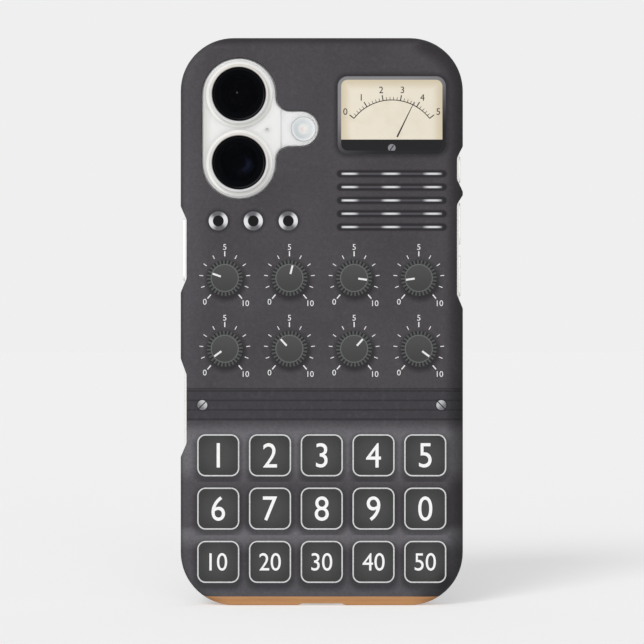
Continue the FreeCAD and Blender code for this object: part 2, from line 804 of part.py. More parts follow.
def antenna_cutters():
    """Boxes that mark out the bands: four across the flanks, two across the top, one at the bottom.

    The sound holes take the place of the fourth one across an end."""
    deep = "band_depth"
    through = (f"{FRAME_BACK} - {deep}", f"{FRAME_FRONT} + {deep}")
    low_band = around(f"{PHONE_BOTTOM} + band_end_inset", "band_width")
    high_band = around(f"{PHONE_TOP} - band_end_inset", "band_width")
    bottom, top = ("0", f"{PHONE_BOTTOM} + {deep}"), (f"{PHONE_TOP} - {deep}", f"{PHONE_TOP} + {deep}")
    cutters = []
    for side, flank in ((-1, "left"), (1, "right")):
        across = sided(side, f"{FLANK} - {deep}", f"{FLANK} + {deep}")
        end = around(f"{side}*band_edge_side", "band_width")
        cutters.append(box(f"cutter_{flank}_low", [across, through, low_band]))
        cutters.append(box(f"cutter_{flank}_high", [across, through, high_band]))
        cutters.append(box(f"cutter_{flank}_top", [end, through, top]))
    cutters.append(box("cutter_bottom", [end, through, bottom]))
    return group("band_cutters", cutters)


def side_frame():
    """The frame and the plastic antenna bands that fill its grooves."""
    blank, cutters = frame_blank(), antenna_cutters()
    DOC.recompute()
    frame = boolean("Cut", "side_frame", blank, cutters)
    bands = boolean("Common", "antenna_bands", blank, cutters)
    return [frame, bands]


# --- glasses, display and tapes -----------------------------------------------------------------


def tape(label, span):
    """An adhesive loop that seals a glass to its seat."""
    body = new_body(label)
    pad(body, "loop", "XZ_Plane", ("0", MIDDLE), slab("tape_inset"), span)
    pocket(body, "inside", "XZ_Plane", ("0", MIDDLE), slab("tape_inset + tape_width"), span)
    return body


def back_glass():
    """The back glass in one piece with its camera plateau, which follows the case's opening.

    The plateau ends in a straight edge between the microphone and the flash, which sits on a lower shelf."""
    body = new_body("back_glass")
    through = (PLATEAU_TOP, GLASS_INNER)
    pad(body, "plate", "XZ_Plane", ("0", MIDDLE), slab("glass_inset"), (BACK, GLASS_INNER))
    fillet(body, "edge", "glass_edge", lies_at("y", BACK))
    camera_opening(body, "plateau", "-plateau_gap", through, pad)
    fillet(body, "plateau_crotch", "opening_fillet + plateau_gap", opening_crotches("-plateau_gap"))
    tab = rectangle("plateau_end", "2*(tab_half + plateau_gap)")
    pocket(body, "plateau_end", "XZ_Plane", ("-plateau_end/2", "camera_level"), tab, (PLATEAU_TOP, SHELF))
    fillet(body, "plateau_edge", "plateau_round", lies_at("y", PLATEAU_TOP))
    fillet(body, "plateau_foot", "plateau_foot", beside_camera(BACK, "opening_length"))
    for name, level in LENS_LEVELS.items():
        hole = disc("ring_outer + ring_gap")
        pocket(body, f"{name}_hole", "XZ_Plane", ("-camera_side", level), hole, through)
    flash_hole = disc("flash_radius + ring_gap")
    pocket(body, "flash_hole", "XZ_Plane", ("-flash_side", "flash_level"), flash_hole, (SHELF, GLASS_INNER))
    pocket(body, "mic_hole", "XZ_Plane", ("-mic_side", "mic_level"), disc("mic_hole"), through)
    return body


def display():
    """The front glass, the panel bonded to it, and the mesh in its earpiece slit."""
    at = ("0", MIDDLE)
    glass = new_body("display_glass")
    pad(glass, "plate", "XZ_Plane", at, slab("glass_inset"), (FRONT_INNER, FRONT))
    fillet(glass, "edge", "glass_edge", lies_at("y", FRONT))
    slit_at = ("0", f"{PHONE_TOP} - glass_inset - slit_inset")
    slit = stadium("slit_length", "slit_width", upright=False)
    pocket(glass, "slit", "XZ_Plane", slit_at, slit, (FRONT_INNER, FRONT))
    panel = new_body("display_panel")
    span = (f"{FRONT_INNER} - panel_thick", FRONT_INNER)
    pad(panel, "plate", "XZ_Plane", at, slab("panel_inset"), span)
    island = stadium("island_length", "island_width", upright=False)
    pocket(panel, "island", "XZ_Plane", ("-island_side", "island_level"), island, span)
    mesh = new_body("earpiece_mesh")
    strip = stadium("slit_length - 2*slit_mesh_gap", "slit_width - 2*slit_mesh_gap", upright=False)
    pad(mesh, "strip", "XZ_Plane", slit_at, strip, (FRONT_INNER, f"{FRONT_INNER} + glass_thick/2"))
    return [glass, panel, mesh]


# --- rear cameras, flash and microphone ---------------------------------------------------------

BARREL_SHOULDER = "(-barrel_top + 2*barrel_lip)"
BARREL_BORE = "(barrel_outer - barrel_wall)"


def lens_ring(name, at):
    """The metal ring that carries a lens cover, held by its flange under the glass."""
    body = turned(f"{name}_lens_ring", at, [
        ("ring_inner", RING_TOP),
        ("ring_outer", RING_TOP),
        ("ring_outer", GLASS_INNER),
        ("ring_flange", GLASS_INNER),
        ("ring_flange", FLANGE_BOTTOM),
        ("ring_seat", FLANGE_BOTTOM),
        ("ring_seat", COVER_BOTTOM),
        ("ring_inner", COVER_BOTTOM),
    ])
    fillet(body, "lip", "ring_round", lies_at("y", RING_TOP))
    return body


def turned_plate(label, at, radius, span):
    """A round plate between two places along Y."""
    low, high = span
    return turned(label, at, [("0", low), (radius, low), (radius, high), ("0", high)])


def camera_can(name, at):
    """The camera's can, bored for the lens barrel and open to its base at the sensor."""
    can = new_body(f"{name}_camera_can")
    outline = rounded("module_size", "module_size", "module_corner")
    pad(can, "can", "XZ_Plane", at, outline, ("-module_top", "module_floor"))
    pocket(can, "bore", "XZ_Plane", at, disc("module_bore"), ("-module_top", "chamber_top"))
    room = rectangle("chamber_size", "chamber_size")
    pocket(can, "chamber", "XZ_Plane", at, room, ("chamber_top", "module_floor"))
    base = new_body(f"{name}_camera_base")
    outline = rounded("module_size", "module_size", "module_corner")
    pad(base, "plate", "XZ_Plane", at, outline, ("module_floor", "web_plane"))
    return [can, base]


def lens_barrel(name, at):
    """The barrel that moves to focus, with a sloped lip round its pupil, and its front lens."""
    pupil = f"{name}_pupil"
    lip = "(-barrel_top + barrel_lip)"
    barrel = turned(f"{name}_lens_barrel", at, [
        (pupil, lip),
        (f"{pupil} + barrel_lip", "-barrel_top"),
        ("barrel_outer", "-barrel_top"),
        ("barrel_outer", "barrel_bottom"),
        (BARREL_BORE, "barrel_bottom"),
        (BARREL_BORE, BARREL_SHOULDER),
        (pupil, BARREL_SHOULDER),
    ])
    rim_back = f"{BARREL_SHOULDER} + element_thick"
    element = turned(f"{name}_front_lens", at, [
        ("0", f"{BARREL_SHOULDER} - element_rim"),
        (f"{pupil}*crown_share", f"{BARREL_SHOULDER} - element_rim/2"),
        (f"{pupil} - ring_gap", BARREL_SHOULDER),
        (BARREL_BORE, BARREL_SHOULDER),
        (BARREL_BORE, rim_back),
        ("0", f"{rim_back} + element_rim"),
    ])
    return [barrel, element]


def camera(name):
    """One rear camera, from the ring in the glass to the base on the web."""
    at = ("-camera_side", LENS_LEVELS[name])
    cover = turned_plate(f"{name}_lens_cover", at, "ring_inner - cover_gap", (COVER_TOP, COVER_BOTTOM))
    return [lens_ring(name, at), cover, *camera_can(name, at), *lens_barrel(name, at)]


def sensors():
    """The main camera's moving sensor in its carrier, the wide camera's fixed one, and the cage."""
    main, wide = (("-camera_side", LENS_LEVELS[name]) for name in ("main", "wide"))
    moving_span = ("sensor_top", "sensor_bottom")
    carrier = new_body("sensor_carrier")
    pad(carrier, "frame", "XZ_Plane", main, rectangle("carrier_outer", "carrier_outer"), moving_span)
    pocket(carrier, "window", "XZ_Plane", main, rectangle("carrier_inner", "carrier_inner"), moving_span)
    square = rectangle("sensor_size", "sensor_size")
    moving = new_body("main_image_sensor")
    pad(moving, "chip", "XZ_Plane", main, square, moving_span)
    fixed = new_body("wide_image_sensor")
    pad(fixed, "chip", "XZ_Plane", wide, square, ("sensor_top", "module_floor"))
    cage = new_body("camera_cage")
    at, span = ("-camera_side", "camera_level"), ("cage_top", "web_plane")
    outside = rounded("cage_width", "cage_height", "module_corner + cage_wall")
    pad(cage, "frame", "XZ_Plane", at, outside, span)
    inside = rounded("cage_width - 2*cage_wall", "cage_height - 2*cage_wall", "module_corner")
    pocket(cage, "inside", "XZ_Plane", at, inside, span)
    return [carrier, moving, fixed, cage]


def flash_and_microphone():
    """The flash lens in the glass, its two lamps in their holder, and the microphone's mesh."""
    at = ("-flash_side", "flash_level")
    top = f"({SHELF} - flash_proud)"
    lens = turned_plate("flash_lens", at, "flash_radius", (top, f"{top} + flash_thick"))
    fillet(lens, "edge", "flash_round", lies_at("y", top))
    holder = new_body("flash_holder")
    floor = "(-flash_board_top)"
    outer = rectangle("flash_board_size", "flash_board_size")
    pad(holder, "box", "XZ_Plane", at, outer, (GLASS_INNER, f"{floor} + flash_board_thick"))
    inner = rectangle("flash_board_size - 2*flash_board_wall", "flash_board_size - 2*flash_board_wall")
    pocket(holder, "room", "XZ_Plane", at, inner, (GLASS_INNER, floor))
    lamp_span = (f"{floor} - led_thick", f"{floor} + flash_board_thick/2")
    for sign, name in (("-", "left"), ("+", "right")):
        place = (f"-flash_side {sign} led_side", "flash_level")
        pad(holder, f"lamp_{name}", "XZ_Plane", place, rectangle("led_size", "led_size"), lamp_span)
    mesh_at = ("-mic_side", "mic_level")
    mesh = turned_plate("rear_microphone_mesh", mesh_at, "mic_mesh", (GLASS_INNER, BACK_SEAT))
    return [lens, holder, mesh, block("rear_microphone")]


# --- side buttons -------------------------------------------------------------------------------


def button(name):
    """A side button: a cap through the frame's slot and a flange that keeps it in."""
    side = BUTTONS[name][0]
    body = new_body(name)
    at = ("mid_plane", f"{name}_level")
    face = f"({FLANK} + {name}_proud)"
    cap = stadium(f"{name}_length", "cap_width")
    pad(body, "cap", "YZ_Plane", at, cap, sided(side, "flange_inner", face))
    flange = stadium(f"{name}_length + 2*flange_extra", "cap_width + 2*flange_extra")
    pad(body, "flange", "YZ_Plane", at, flange, sided(side, "flange_inner", "flange_outer"))
    fillet(body, "edge", "button_round", lies_at("x", f"{side}*({face})"))
    return body


def switches():
    """One dome switch behind each button, and the flex cables that carry them."""
    made = []
    for name, (side, *_) in BUTTONS.items():
        body = new_body(f"switch_{name}")
        at = ("mid_plane", f"{name}_level")
        foot = rectangle("switch_width", "switch_size")
        pad(body, "foot", "YZ_Plane", at, foot, sided(side, "switch_foot", "dome_base"))
        pad(body, "dome", "YZ_Plane", at, disc("dome_radius"), sided(side, "switch_foot", "dome_top"))
        made.append(body)
    cables = []
    for name, (side, *_) in FLEXES.items():
        across, upright = sided(side, "flex_foot", "switch_foot"), (f"{name}_low", f"{name}_high")
        cables.append(box(name, [across, around("mid_plane", "flex_width"), upright]))
    return [group("button_switches", made), group("button_cables", cables)]


# --- bottom edge --------------------------------------------------------------------------------


def charging_port():
    """The socket's shell, closed at its inner end, the tongue inside it, and its board and cable."""
    shell = new_body("port_shell")
    at = ("0", "mid_plane")
    tube = stadium("socket_length", "socket_width", upright=False)
    pad(shell, "tube", "XY_Plane", at, tube, ("socket_mouth", "socket_end"))
    inside = stadium("socket_length - 2*socket_wall", "socket_width - 2*socket_wall", upright=False)
    pocket(shell, "mouth", "XY_Plane", at, inside, ("socket_mouth", "socket_end - socket_back"))
    tongue = new_body("port_tongue")
    plate = rectangle("tongue_length", "tongue_thick")
    pad(tongue, "plate", "XY_Plane", at, plate, ("tongue_tip", "socket_end - socket_back"))
    board = block("port_board")
    end = "connector_d_z - connector_d_height/2"
    cable = polygon([
        ("cable_left", "cable_start"),
        ("cable_left + cable_width", "cable_start"),
        ("cable_left + cable_width", "cable_turn"),
        ("cable_right", "cable_turn"),
        ("cable_right", end),
        ("cable_right - cable_width", end),
        ("cable_right - cable_width", "cable_turn + cable_width"),
        ("cable_left", "cable_turn + cable_width"),
    ])
    pad(board, "cable", "XZ_Plane", ("0", "0"), cable, ("cable_back", "cable_front"))
    return [shell, tongue, board]


def bottom_screws():
    """Two screws with a six-sided socket, one each side of the port."""
    screws = []
    for sign, name in (("-", "left"), ("", "right")):
        at = (f"{sign}screw_side", "mid_plane")
        low, high = "screw_head_low", "screw_head_high"
        sizes = {"Radius": "screw_head", "Height": f"{high} - {low}"}
        head = primitive("Cylinder", f"head_{name}", (*at, low), **sizes)
        sizes = {"Radius": "screw_shank", "Height": f"screw_tip - {high}"}
        shank = primitive("Cylinder", f"shank_{name}", (*at, high), **sizes)
        sizes = {"Circumradius": "screw_drive", "Height": "screw_drive_depth"}
        drive = primitive("Prism", f"drive_{name}", (*at, low), **sizes)
        cap = boolean("Cut", f"cap_{name}", head, drive)
        screws.append(boolean("Fuse", f"bottom_screw_{name}", cap, shank))
    return group("bottom_screws", screws)


def loudspeaker():
    """The loudspeaker's box with its snout to the sound holes, and the cone in its back."""
    case = block("loudspeaker")
    corner = along_y_at("loudspeaker_x - loudspeaker_width/2", "loudspeaker_z - loudspeaker_height/2")
    fillet(case, "corner", "phone_corner - frame_wall - room_gap", corner)
    snout = rectangle("mesh_left_width", "mesh_left_front - mesh_left_back")
    span = ("mesh_left_z + mesh_left_height/2", "loudspeaker_z - loudspeaker_height/2 + room_gap")
    pad(case, "snout", "XY_Plane", ("mesh_left_x", "mid_plane"), snout, span)
    at = ("loudspeaker_x", "loudspeaker_z")
    recess = rounded("cone_width", "cone_height", "module_corner + cone_gap")
    pocket(case, "recess", "XZ_Plane", at, recess, ("loudspeaker_back", "loudspeaker_back + cone_recess"))
    cone = new_body("speaker_cone")
    plate = rounded("cone_width - 2*cone_gap", "cone_height - 2*cone_gap", "module_corner")
    pad(cone, "plate", "XZ_Plane", at, plate, ("-cone_top", "-cone_top + cone_thick"))
    return [case, cone]


def vibration_motor():
    """The linear vibration motor: tray, lid, sliding weight and its two leaf springs."""
    tray = block("motor_tray")
    at = ("motor_tray_x", "motor_tray_z")
    inside = rectangle("motor_tray_width - 2*motor_wall", "motor_tray_height - 2*motor_wall")
    pocket(tray, "inside", "XZ_Plane", at, inside, ("motor_tray_back", "motor_tray_front - motor_wall"))
    lid = new_body("motor_lid")
    plate = rectangle("motor_tray_width", "motor_tray_height")
    pad(lid, "plate", "XZ_Plane", at, plate, ("motor_tray_back - motor_lid", "motor_tray_back"))
    weight = new_body("motor_weight")
    mass = rectangle("weight_width", "weight_height")
    pad(weight, "block", "XZ_Plane", at, mass, ("-weight_top", "weight_bottom"))
    springs = []
    for sign, name in (("-", "left"), ("+", "right")):
        middle = f"(motor_tray_x {sign} (motor_tray_width/2 - motor_wall - spring_thick/2))"
        upright = around("motor_tray_z", "weight_height")
        spans = [around(middle, "spring_thick"), ("-spring_top", "weight_bottom"), upright]
        springs.append(box(f"motor_spring_{name}", spans))
    return [tray, lid, weight, group("motor_springs", springs)]


# --- power and electronics ----------------------------------------------------------------------


def magnet(number):
    """One magnet: a sector of a ring whose axis is turned from +Z to -Y."""
    rims = []
    for name in ("outer", "inner"):
        rim = primitive("Cylinder", f"magnet_{name}_{number}", ("0", "-shield_bottom", MIDDLE))
        rim.setExpression("Radius", cell(f"magnet_{name}"))
        rim.setExpression("Height", cell(f"-shield_bottom - {GLASS_INNER}"))
        rim.setExpression("Angle", cell("magnet_angle"))
        upright = FreeCAD.Rotation(FreeCAD.Vector(1, 0, 0), 90)
        turn = FreeCAD.Rotation(FreeCAD.Vector(0, 0, 1), MAGNET_START + number * 360 / MAGNETS)
        rim.Placement.Rotation = upright * turn
        rims.append(rim)
    return boolean("Cut", f"magnet_{number}", *rims)


def charging_coil():
    """The coil and its shield under the back glass, with a broken ring of magnets round them."""
    at = ("0", MIDDLE)
    low, high = GLASS_INNER, "-coil_bottom"
    profile = [("coil_inner", low), ("coil_outer", low), ("coil_outer", high), ("coil_inner", high)]
    coil = turned("charging_coil", at, profile)
    shield = turned_plate("coil_shield", at, "shield_outer", (high, "-shield_bottom"))
    return [coil, shield, group("magnet_ring", [magnet(number) for number in range(MAGNETS)])]


def board_screw(number, at):
    """A cap screw through the circuit board into its boss."""
    head_top = "board_top - board_screw_rise"
    return turned(f"board_screw_{number}", at, [
        ("0", head_top),
        ("board_screw_head", head_top),
        ("board_screw_head", "board_top"),
        ("board_screw_shank", "board_top"),
        ("board_screw_shank", "board_screw_tip"),
        ("0", "board_screw_tip"),
    ])


def main_board():
    """The L-shaped circuit board with its shields, connectors and screws."""
    body = new_body("main_board")
    outline = polygon([
        ("board_left", "board_low"),
        ("board_right", "board_low"),
        ("board_right", "board_high"),
        ("board_left", "board_high"),
        ("board_left", "arm_high"),
        ("-arm_left", "arm_high"),
        ("-arm_left", "arm_low"),
        ("board_left", "arm_low"),
    ])
    span = ("board_top", "board_bottom")
    pad(body, "plate", "XZ_Plane", ("0", "0"), outline, span)
    screws = []
    for number, level in enumerate(BOARD_SCREW_LEVELS):
        at = ("board_screw_side", str(level))
        bore = disc("board_screw_shank + board_screw_gap")
        pocket(body, f"screw_hole_{number}", "XZ_Plane", at, bore, span)
        screws.append(board_screw(number, at))
    shields = group("board_shields", [block(f"shield_{name}") for name in ("low", "mid", "high")])
    plugs = group("board_connectors", [block(f"connector_{name}") for name in "abcde"])
    return [body, group("board_screws", screws), shields, plugs]


def front_sensors():
    """The front camera, the pair of depth sensors and the earpiece, behind the display."""
    span = ("mid_plane", FRONT_INNER)
    camera_body, eyes = block("front_camera"), block("depth_sensors")
    at = ("front_camera_x", "front_camera_z")
    pad(camera_body, "barrel", "XZ_Plane", at, disc("front_camera_radius"), span)
    for sign, name in (("-", "left"), ("+", "right")):
        place = (f"depth_sensors_x {sign} depth_sensors_width/4", "depth_sensors_z")
        pad(eyes, f"eye_{name}", "XZ_Plane", place, disc("eye_radius"), span)
    return [camera_body, eyes, block("earpiece_speaker")]


def make_parts():
    """Every node of the phone and its case."""
    nodes = [hard_case(), *side_frame(), back_glass(), *display()]
    nodes.append(tape("back_glass_tape", (GLASS_INNER, BACK_SEAT)))
    nodes.append(tape("display_tape", (FRONT_SEAT, FRONT_INNER)))
    for name in LENS_LEVELS:
        nodes += camera(name)
    nodes += sensors() + flash_and_microphone()
    nodes += [button(name) for name in BUTTONS] + switches()
    nodes += charging_port() + [bottom_screws()] + loudspeaker() + vibration_motor()
    nodes += charging_coil() + main_board() + front_sensors()
    nodes += [block("battery"), block("bottom_microphone")]
    nodes.append(group("battery_strips", [block(f"battery_strip_{name}") for name in "abc"]))
    nodes.append(group("sound_meshes", [block("mesh_left"), block("mesh_right")]))
    return nodes


def write_parts(nodes):
    """Checks every object and every node's shape, then writes one STEP file per node."""
    DOC.recompute()
    broken = [item.Label for item in DOC.Objects if {"Invalid", "Error"} & set(item.State)]
    if broken:
        raise RuntimeError(f"these objects failed: {broken}")
    for node in nodes:
        shape = node.Shape
        if shape.isNull() or not shape.isValid() or not shape.Solids:
            raise RuntimeError(f"{node.Label} has no valid solid")
    os.makedirs("parts", exist_ok=True)
    for node in nodes:
        node.Shape.exportStep(f"parts/{node.Label}.step")
    print(f"{len(nodes)} nodes, {sum(len(node.Shape.Solids) for node in nodes)} solids")


fill_sheet()
write_parts(make_parts())
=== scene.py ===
"""Dresses a smartphone in its printed hard case and stands it in a pale studio.

Sizes in the classes are millimetres, and angles are radians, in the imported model's frame: +Z up the
phone, -Y out of the case's printed back, +X to the right as that back is seen. Meshes are written in
metres.
"""

import logging
import math
from dataclasses import dataclass, replace
from enum import Enum
from typing import Any, Mapping, Sequence, Union

import bmesh
import bpy
import numpy as np
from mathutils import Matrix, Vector


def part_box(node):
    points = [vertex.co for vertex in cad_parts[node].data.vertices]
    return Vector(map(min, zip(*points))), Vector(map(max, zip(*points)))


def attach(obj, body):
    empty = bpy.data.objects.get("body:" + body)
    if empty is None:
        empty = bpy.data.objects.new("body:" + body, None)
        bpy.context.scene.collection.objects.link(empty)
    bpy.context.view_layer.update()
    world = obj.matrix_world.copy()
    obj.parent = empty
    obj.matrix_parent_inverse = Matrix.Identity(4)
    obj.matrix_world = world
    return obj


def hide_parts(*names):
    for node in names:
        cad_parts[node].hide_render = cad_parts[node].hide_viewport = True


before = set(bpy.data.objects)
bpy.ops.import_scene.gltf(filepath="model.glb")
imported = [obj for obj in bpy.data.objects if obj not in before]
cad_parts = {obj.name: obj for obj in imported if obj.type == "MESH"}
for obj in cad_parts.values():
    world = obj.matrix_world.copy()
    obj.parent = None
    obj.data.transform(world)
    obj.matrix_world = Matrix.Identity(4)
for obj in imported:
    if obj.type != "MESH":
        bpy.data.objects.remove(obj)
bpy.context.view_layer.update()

LOG = logging.getLogger("cased_phone")
MM = 0.001
FULL_TURN = 2 * math.pi
PRINT_EDGE = 0.05
POINTS_PER_WAVE = 8
LONG_TICK_EVERY = 5
ARC_POINTS = 64

Socket = bpy.types.NodeSocket
Number = Union[float, "Signal"]
Colour = Union[str, Socket]
Coat = tuple[Colour, Number]


def linear(code: str) -> tuple[float, float, float, float]:
    """Turns a colour as it is seen into the light that a shader works with.

    Args:
        code: six hexadecimal digits, red, green and blue.

    Returns:
        Red, green, blue and an alpha of 1, by the standard screen curve.
    """
    seen = np.array([int(code[i:i + 2], 16) for i in (0, 2, 4)]) / 255
    light = np.where(seen <= 0.04045, seen / 12.92, ((seen + 0.055) / 1.055) ** 2.4)
    return (*light.tolist(), 1.0)


# --- node graphs --------------------------------------------------------------------------------


class Signal:
    """A number that changes over a surface. Arithmetic on it adds Math nodes to its graph."""

    def __init__(self, graph: "Graph", socket: Socket) -> None:
        """Wraps a socket of the graph."""
        self.graph = graph
        self.socket = socket

    def _math(self, operation: str, *terms: Number) -> "Signal":
        """Adds a Math node.

        Args:
            operation: the Math node's operation.
            terms: its inputs in order, numbers or signals.

        Returns:
            The node's result.
        """
        node = self.graph.node("ShaderNodeMath", {"operation": operation}, dict(enumerate(terms)))
        return Signal(self.graph, node.outputs[0])

    def __add__(self, other: Number) -> "Signal":
        """self + other"""
        return self._math("ADD", self, other)

    def __radd__(self, other: Number) -> "Signal":
        """other + self"""
        return self._math("ADD", other, self)

    def __sub__(self, other: Number) -> "Signal":
        """self - other"""
        return self._math("SUBTRACT", self, other)

    def __rsub__(self, other: Number) -> "Signal":
        """other - self"""
        return self._math("SUBTRACT", other, self)

    def __mul__(self, other: Number) -> "Signal":
        """self * other"""
        return self._math("MULTIPLY", self, other)

    def __rmul__(self, other: Number) -> "Signal":
        """other * self"""
        return self._math("MULTIPLY", other, self)

    def __truediv__(self, other: Number) -> "Signal":
        """self / other"""
        return self._math("DIVIDE", self, other)

    def __abs__(self) -> "Signal":
        """The size without the sign."""
        return self._math("ABSOLUTE", self)

    def least(self, other: Number) -> "Signal":
        """The smaller of the two."""
        return self._math("MINIMUM", self, other)

    def most(self, other: Number) -> "Signal":
        """The larger of the two."""
        return self._math("MAXIMUM", self, other)

    def nearest(self) -> "Signal":
        """The nearest whole number."""
        return self._math("ROUND", self)

    def root(self) -> "Signal":
        """The square root."""
        return self._math("SQRT", self)

    def wave(self, period: float) -> "Signal":
        """A sine of that period, lifted to run from 0 to 1."""
        return self._math("SINE", self * (FULL_TURN / period)) * 0.5 + 0.5

    def bearing(self, across: Number) -> "Signal":
        """The angle whose rise is self and whose run is across, in radians."""
        return self._math("ARCTAN2", self, across)

    def rise(self, low: float, high: float) -> "Signal":
        """A smooth step.

        Args:
            low: where the result is still 0.
            high: where it has reached 1.

        Returns:
            0 below low, 1 above high, with a gentle S between them.
        """
        settings = {"interpolation_type": "SMOOTHSTEP"}
        inputs = {"Value": self, "From Min": low, "From Max": high}
        return Signal(self.graph, self.graph.node("ShaderNodeMapRange", settings, inputs).outputs[0])

    def fall(self, low: float, high: float) -> "Signal":
        """The smooth step downwards: 1 below low and 0 above high."""
        return 1 - self.rise(low, high)

    def band(self, *places: float) -> "Signal":
        """A soft band that rises between the first two places and falls between the last two."""
        return self.rise(*places[:2]) * self.fall(*places[2:])

    def above(self, edge: float = 0.0, soft: float = PRINT_EDGE) -> "Signal":
        """0 below the edge and 1 above it; soft is how far the change reaches to each side."""
        return self.rise(edge - soft, edge + soft)

    def below(self, edge: float = 0.0, soft: float = PRINT_EDGE) -> "Signal":
        """1 below the edge and 0 above it; soft is how far the change reaches to each side."""
        return self.fall(edge - soft, edge + soft)


class Graph:
    """A node tree that is being filled."""

    def __init__(self, tree: bpy.types.NodeTree) -> None:
        """Takes over a tree and empties it."""
        self.tree = tree
        tree.nodes.clear()

    def node(self, kind: str, settings: Mapping[str, Any] = {},
             inputs: Mapping[Any, Any] = {}) -> bpy.types.Node:
        """Adds a node.

        Args:
            kind: the node's type.
            settings: its properties, set first.
            inputs: what each of its sockets takes, by name or number: a value, a signal or a socket.

        Returns:
            The new node.
        """
        node = self.tree.nodes.new(kind)
        for name, setting in settings.items():
            setattr(node, name, setting)
        for name, given in inputs.items():
            source = given.socket if isinstance(given, Signal) else given
            if isinstance(source, bpy.types.NodeSocket):
                self.tree.links.new(source, node.inputs[name])
            else:
                node.inputs[name].default_value = source
        return node

    def place(self) -> Socket:
        """Where a point of the piece is, in millimetres.

        Returns:
            The point, as a vector.
        """
        source = self.node("ShaderNodeTexCoord").outputs["Object"]
        scale = {"operation": "SCALE"}
        return self.node("ShaderNodeVectorMath", scale, {0: source, "Scale": 1 / MM}).outputs[0]

    def axes(self) -> tuple[Signal, Signal, Signal]:
        """The x, y and z of a point, in millimetres."""
        parts = self.node("ShaderNodeSeparateXYZ", {}, {0: self.place()}).outputs
        return Signal(self, parts[0]), Signal(self, parts[1]), Signal(self, parts[2])

    def about(self, axis: Sequence[float]) -> tuple[Signal, Signal, Signal]:
        """How far a point is right of an axis along Y, how far above it, and how far away from it.

        Args:
            axis: the axis's (x, z).

        Returns:
            The distance to the right, the distance up and the radius.
        """
        x, _, z = self.axes()
        across, along = x - axis[0], z - axis[1]
        return across, along, radius_from(across, along)

    def noise(self, size: float, detail: float = 4.0, stretch: Sequence[float] = (1, 1, 1)) -> Signal:
        """Cloudy noise.

        Args:
            size: how large its blobs are, in millimetres.
            detail: how many finer layers it has.
            stretch: how much longer the blobs are along x, y and z.

        Returns:
            Values from 0 to 1, most of them near a half.
        """
        shares = {0: self.place(), 1: tuple(1 / (size * along) for along in stretch)}
        spot = self.node("ShaderNodeVectorMath", {"operation": "MULTIPLY"}, shares).outputs[0]
        inputs = {"Vector": spot, "Scale": 1.0, "Detail": detail, "Roughness": 0.55}
        return Signal(self, self.node("ShaderNodeTexNoise", {}, inputs).outputs[0])

    def pebbles(self, size: float) -> Signal:
        """Cells about size millimetres across; the result grows from 0 at each cell's middle.

        Args:
            size: how far apart the cells are, in millimetres.

        Returns:
            The distance from the nearest middle.
        """
        spot = self.node("ShaderNodeVectorMath", {"operation": "SCALE"}, {0: self.place(), "Scale": 1 / size})
        settings = {"feature": "SMOOTH_F1"}
        inputs = {"Vector": spot.outputs[0], "Scale": 1.0, "Smoothness": 0.6}
        return Signal(self, self.node("ShaderNodeTexVoronoi", settings, inputs).outputs[0])

    def blend(self, under: Colour, over: Colour, share: Number) -> Socket:
        """Lays one colour over another.

        Args:
            under: the lower colour, a socket or six hexadecimal digits.
            over: the upper one.
            share: how much of the lower one it covers.

        Returns:
            The mixed colour.
        """
        colours = [linear(given) if isinstance(given, str) else given for given in (under, over)]
        inputs = {0: share, 6: colours[0], 7: colours[1]}
        return self.node("ShaderNodeMix", {"data_type": "RGBA"}, inputs).outputs[2]

    def layered(self, ground: Colour, *coats: Coat) -> Socket:
        """Lays several colours over one another.

        Args:
            ground: the lowest colour.
            coats: the others from the lowest up, each with its share.

        Returns:
            The mixed colour.
        """
        for colour, share in coats:
            ground = self.blend(ground, colour, share)
        return ground

    def relief(self, height: Signal, depth: float) -> Socket:
        """The normal of a surface whose height signal, from 0 to 1, stands for depth millimetres."""
        inputs = {"Strength": 1.0, "Distance": depth * MM, "Height": height}
        return self.node("ShaderNodeBump", {}, inputs).outputs[0]

    def skin(self, inputs: Mapping[str, Any]) -> Socket:
        """A Principled surface with those inputs."""
        return self.node("ShaderNodeBsdfPrincipled", {}, inputs).outputs[0]

    def either(self, share: Signal, first: Socket, second: Socket) -> Socket:
        """The first shader where share is 0, the second where it is 1."""
        return self.node("ShaderNodeMixShader", {}, {0: share, 1: first, 2: second}).outputs[0]

    def close(self, shader: Socket, kind: str = "ShaderNodeOutputMaterial") -> None:
        """Ends the tree with an output of that kind."""
        self.node(kind, {}, {"Surface": shader})


def radius_from(across: Signal, along: Signal) -> Signal:
    """How far a point is from the middle, from its two distances."""
    return (across * across + along * along).root()


def towards_foot(across: Signal, along: Signal, out: Signal) -> Signal:
    """From 0 at the top of a ring to 1 at its foot, leaning a little to the right."""
    return ((across * 0.3 - along) / out).rise(-0.9, 0.9)


def box_distance(across: Signal, along: Signal, half: Sequence[float], corner: float) -> Signal:
    """How far a point is outside a rounded rectangle.

    The outline is a smaller rectangle grown by its corner radius, so the distance is that to the small
    rectangle less the radius, and it is below 0 inside.

    Args:
        across: the point's distance right of the middle.
        along: the point's distance above the middle.
        half: half of the rectangle's width and height.
        corner: the radius of its corners.

    Returns:
        The signed distance in millimetres.
    """
    side = abs(across) - (half[0] - corner)
    top = abs(along) - (half[1] - corner)
    return radius_from(side.most(0), top.most(0)) + side.most(top).least(0) - corner


def folded(place: Signal, first: float, pitch: float, count: int) -> Signal:
    """Folds a row of equal cells into one.

    Args:
        place: the coordinate along the row.
        first: the middle of the first cell.
        pitch: from one cell's middle to the next.
        count: how many cells there are.

    Returns:
        The distance from the nearest cell's middle.
    """
    number = ((place - first) / pitch).nearest().most(0).least(count - 1)
    return place - first - number * pitch


# --- finishes -----------------------------------------------------------------------------------


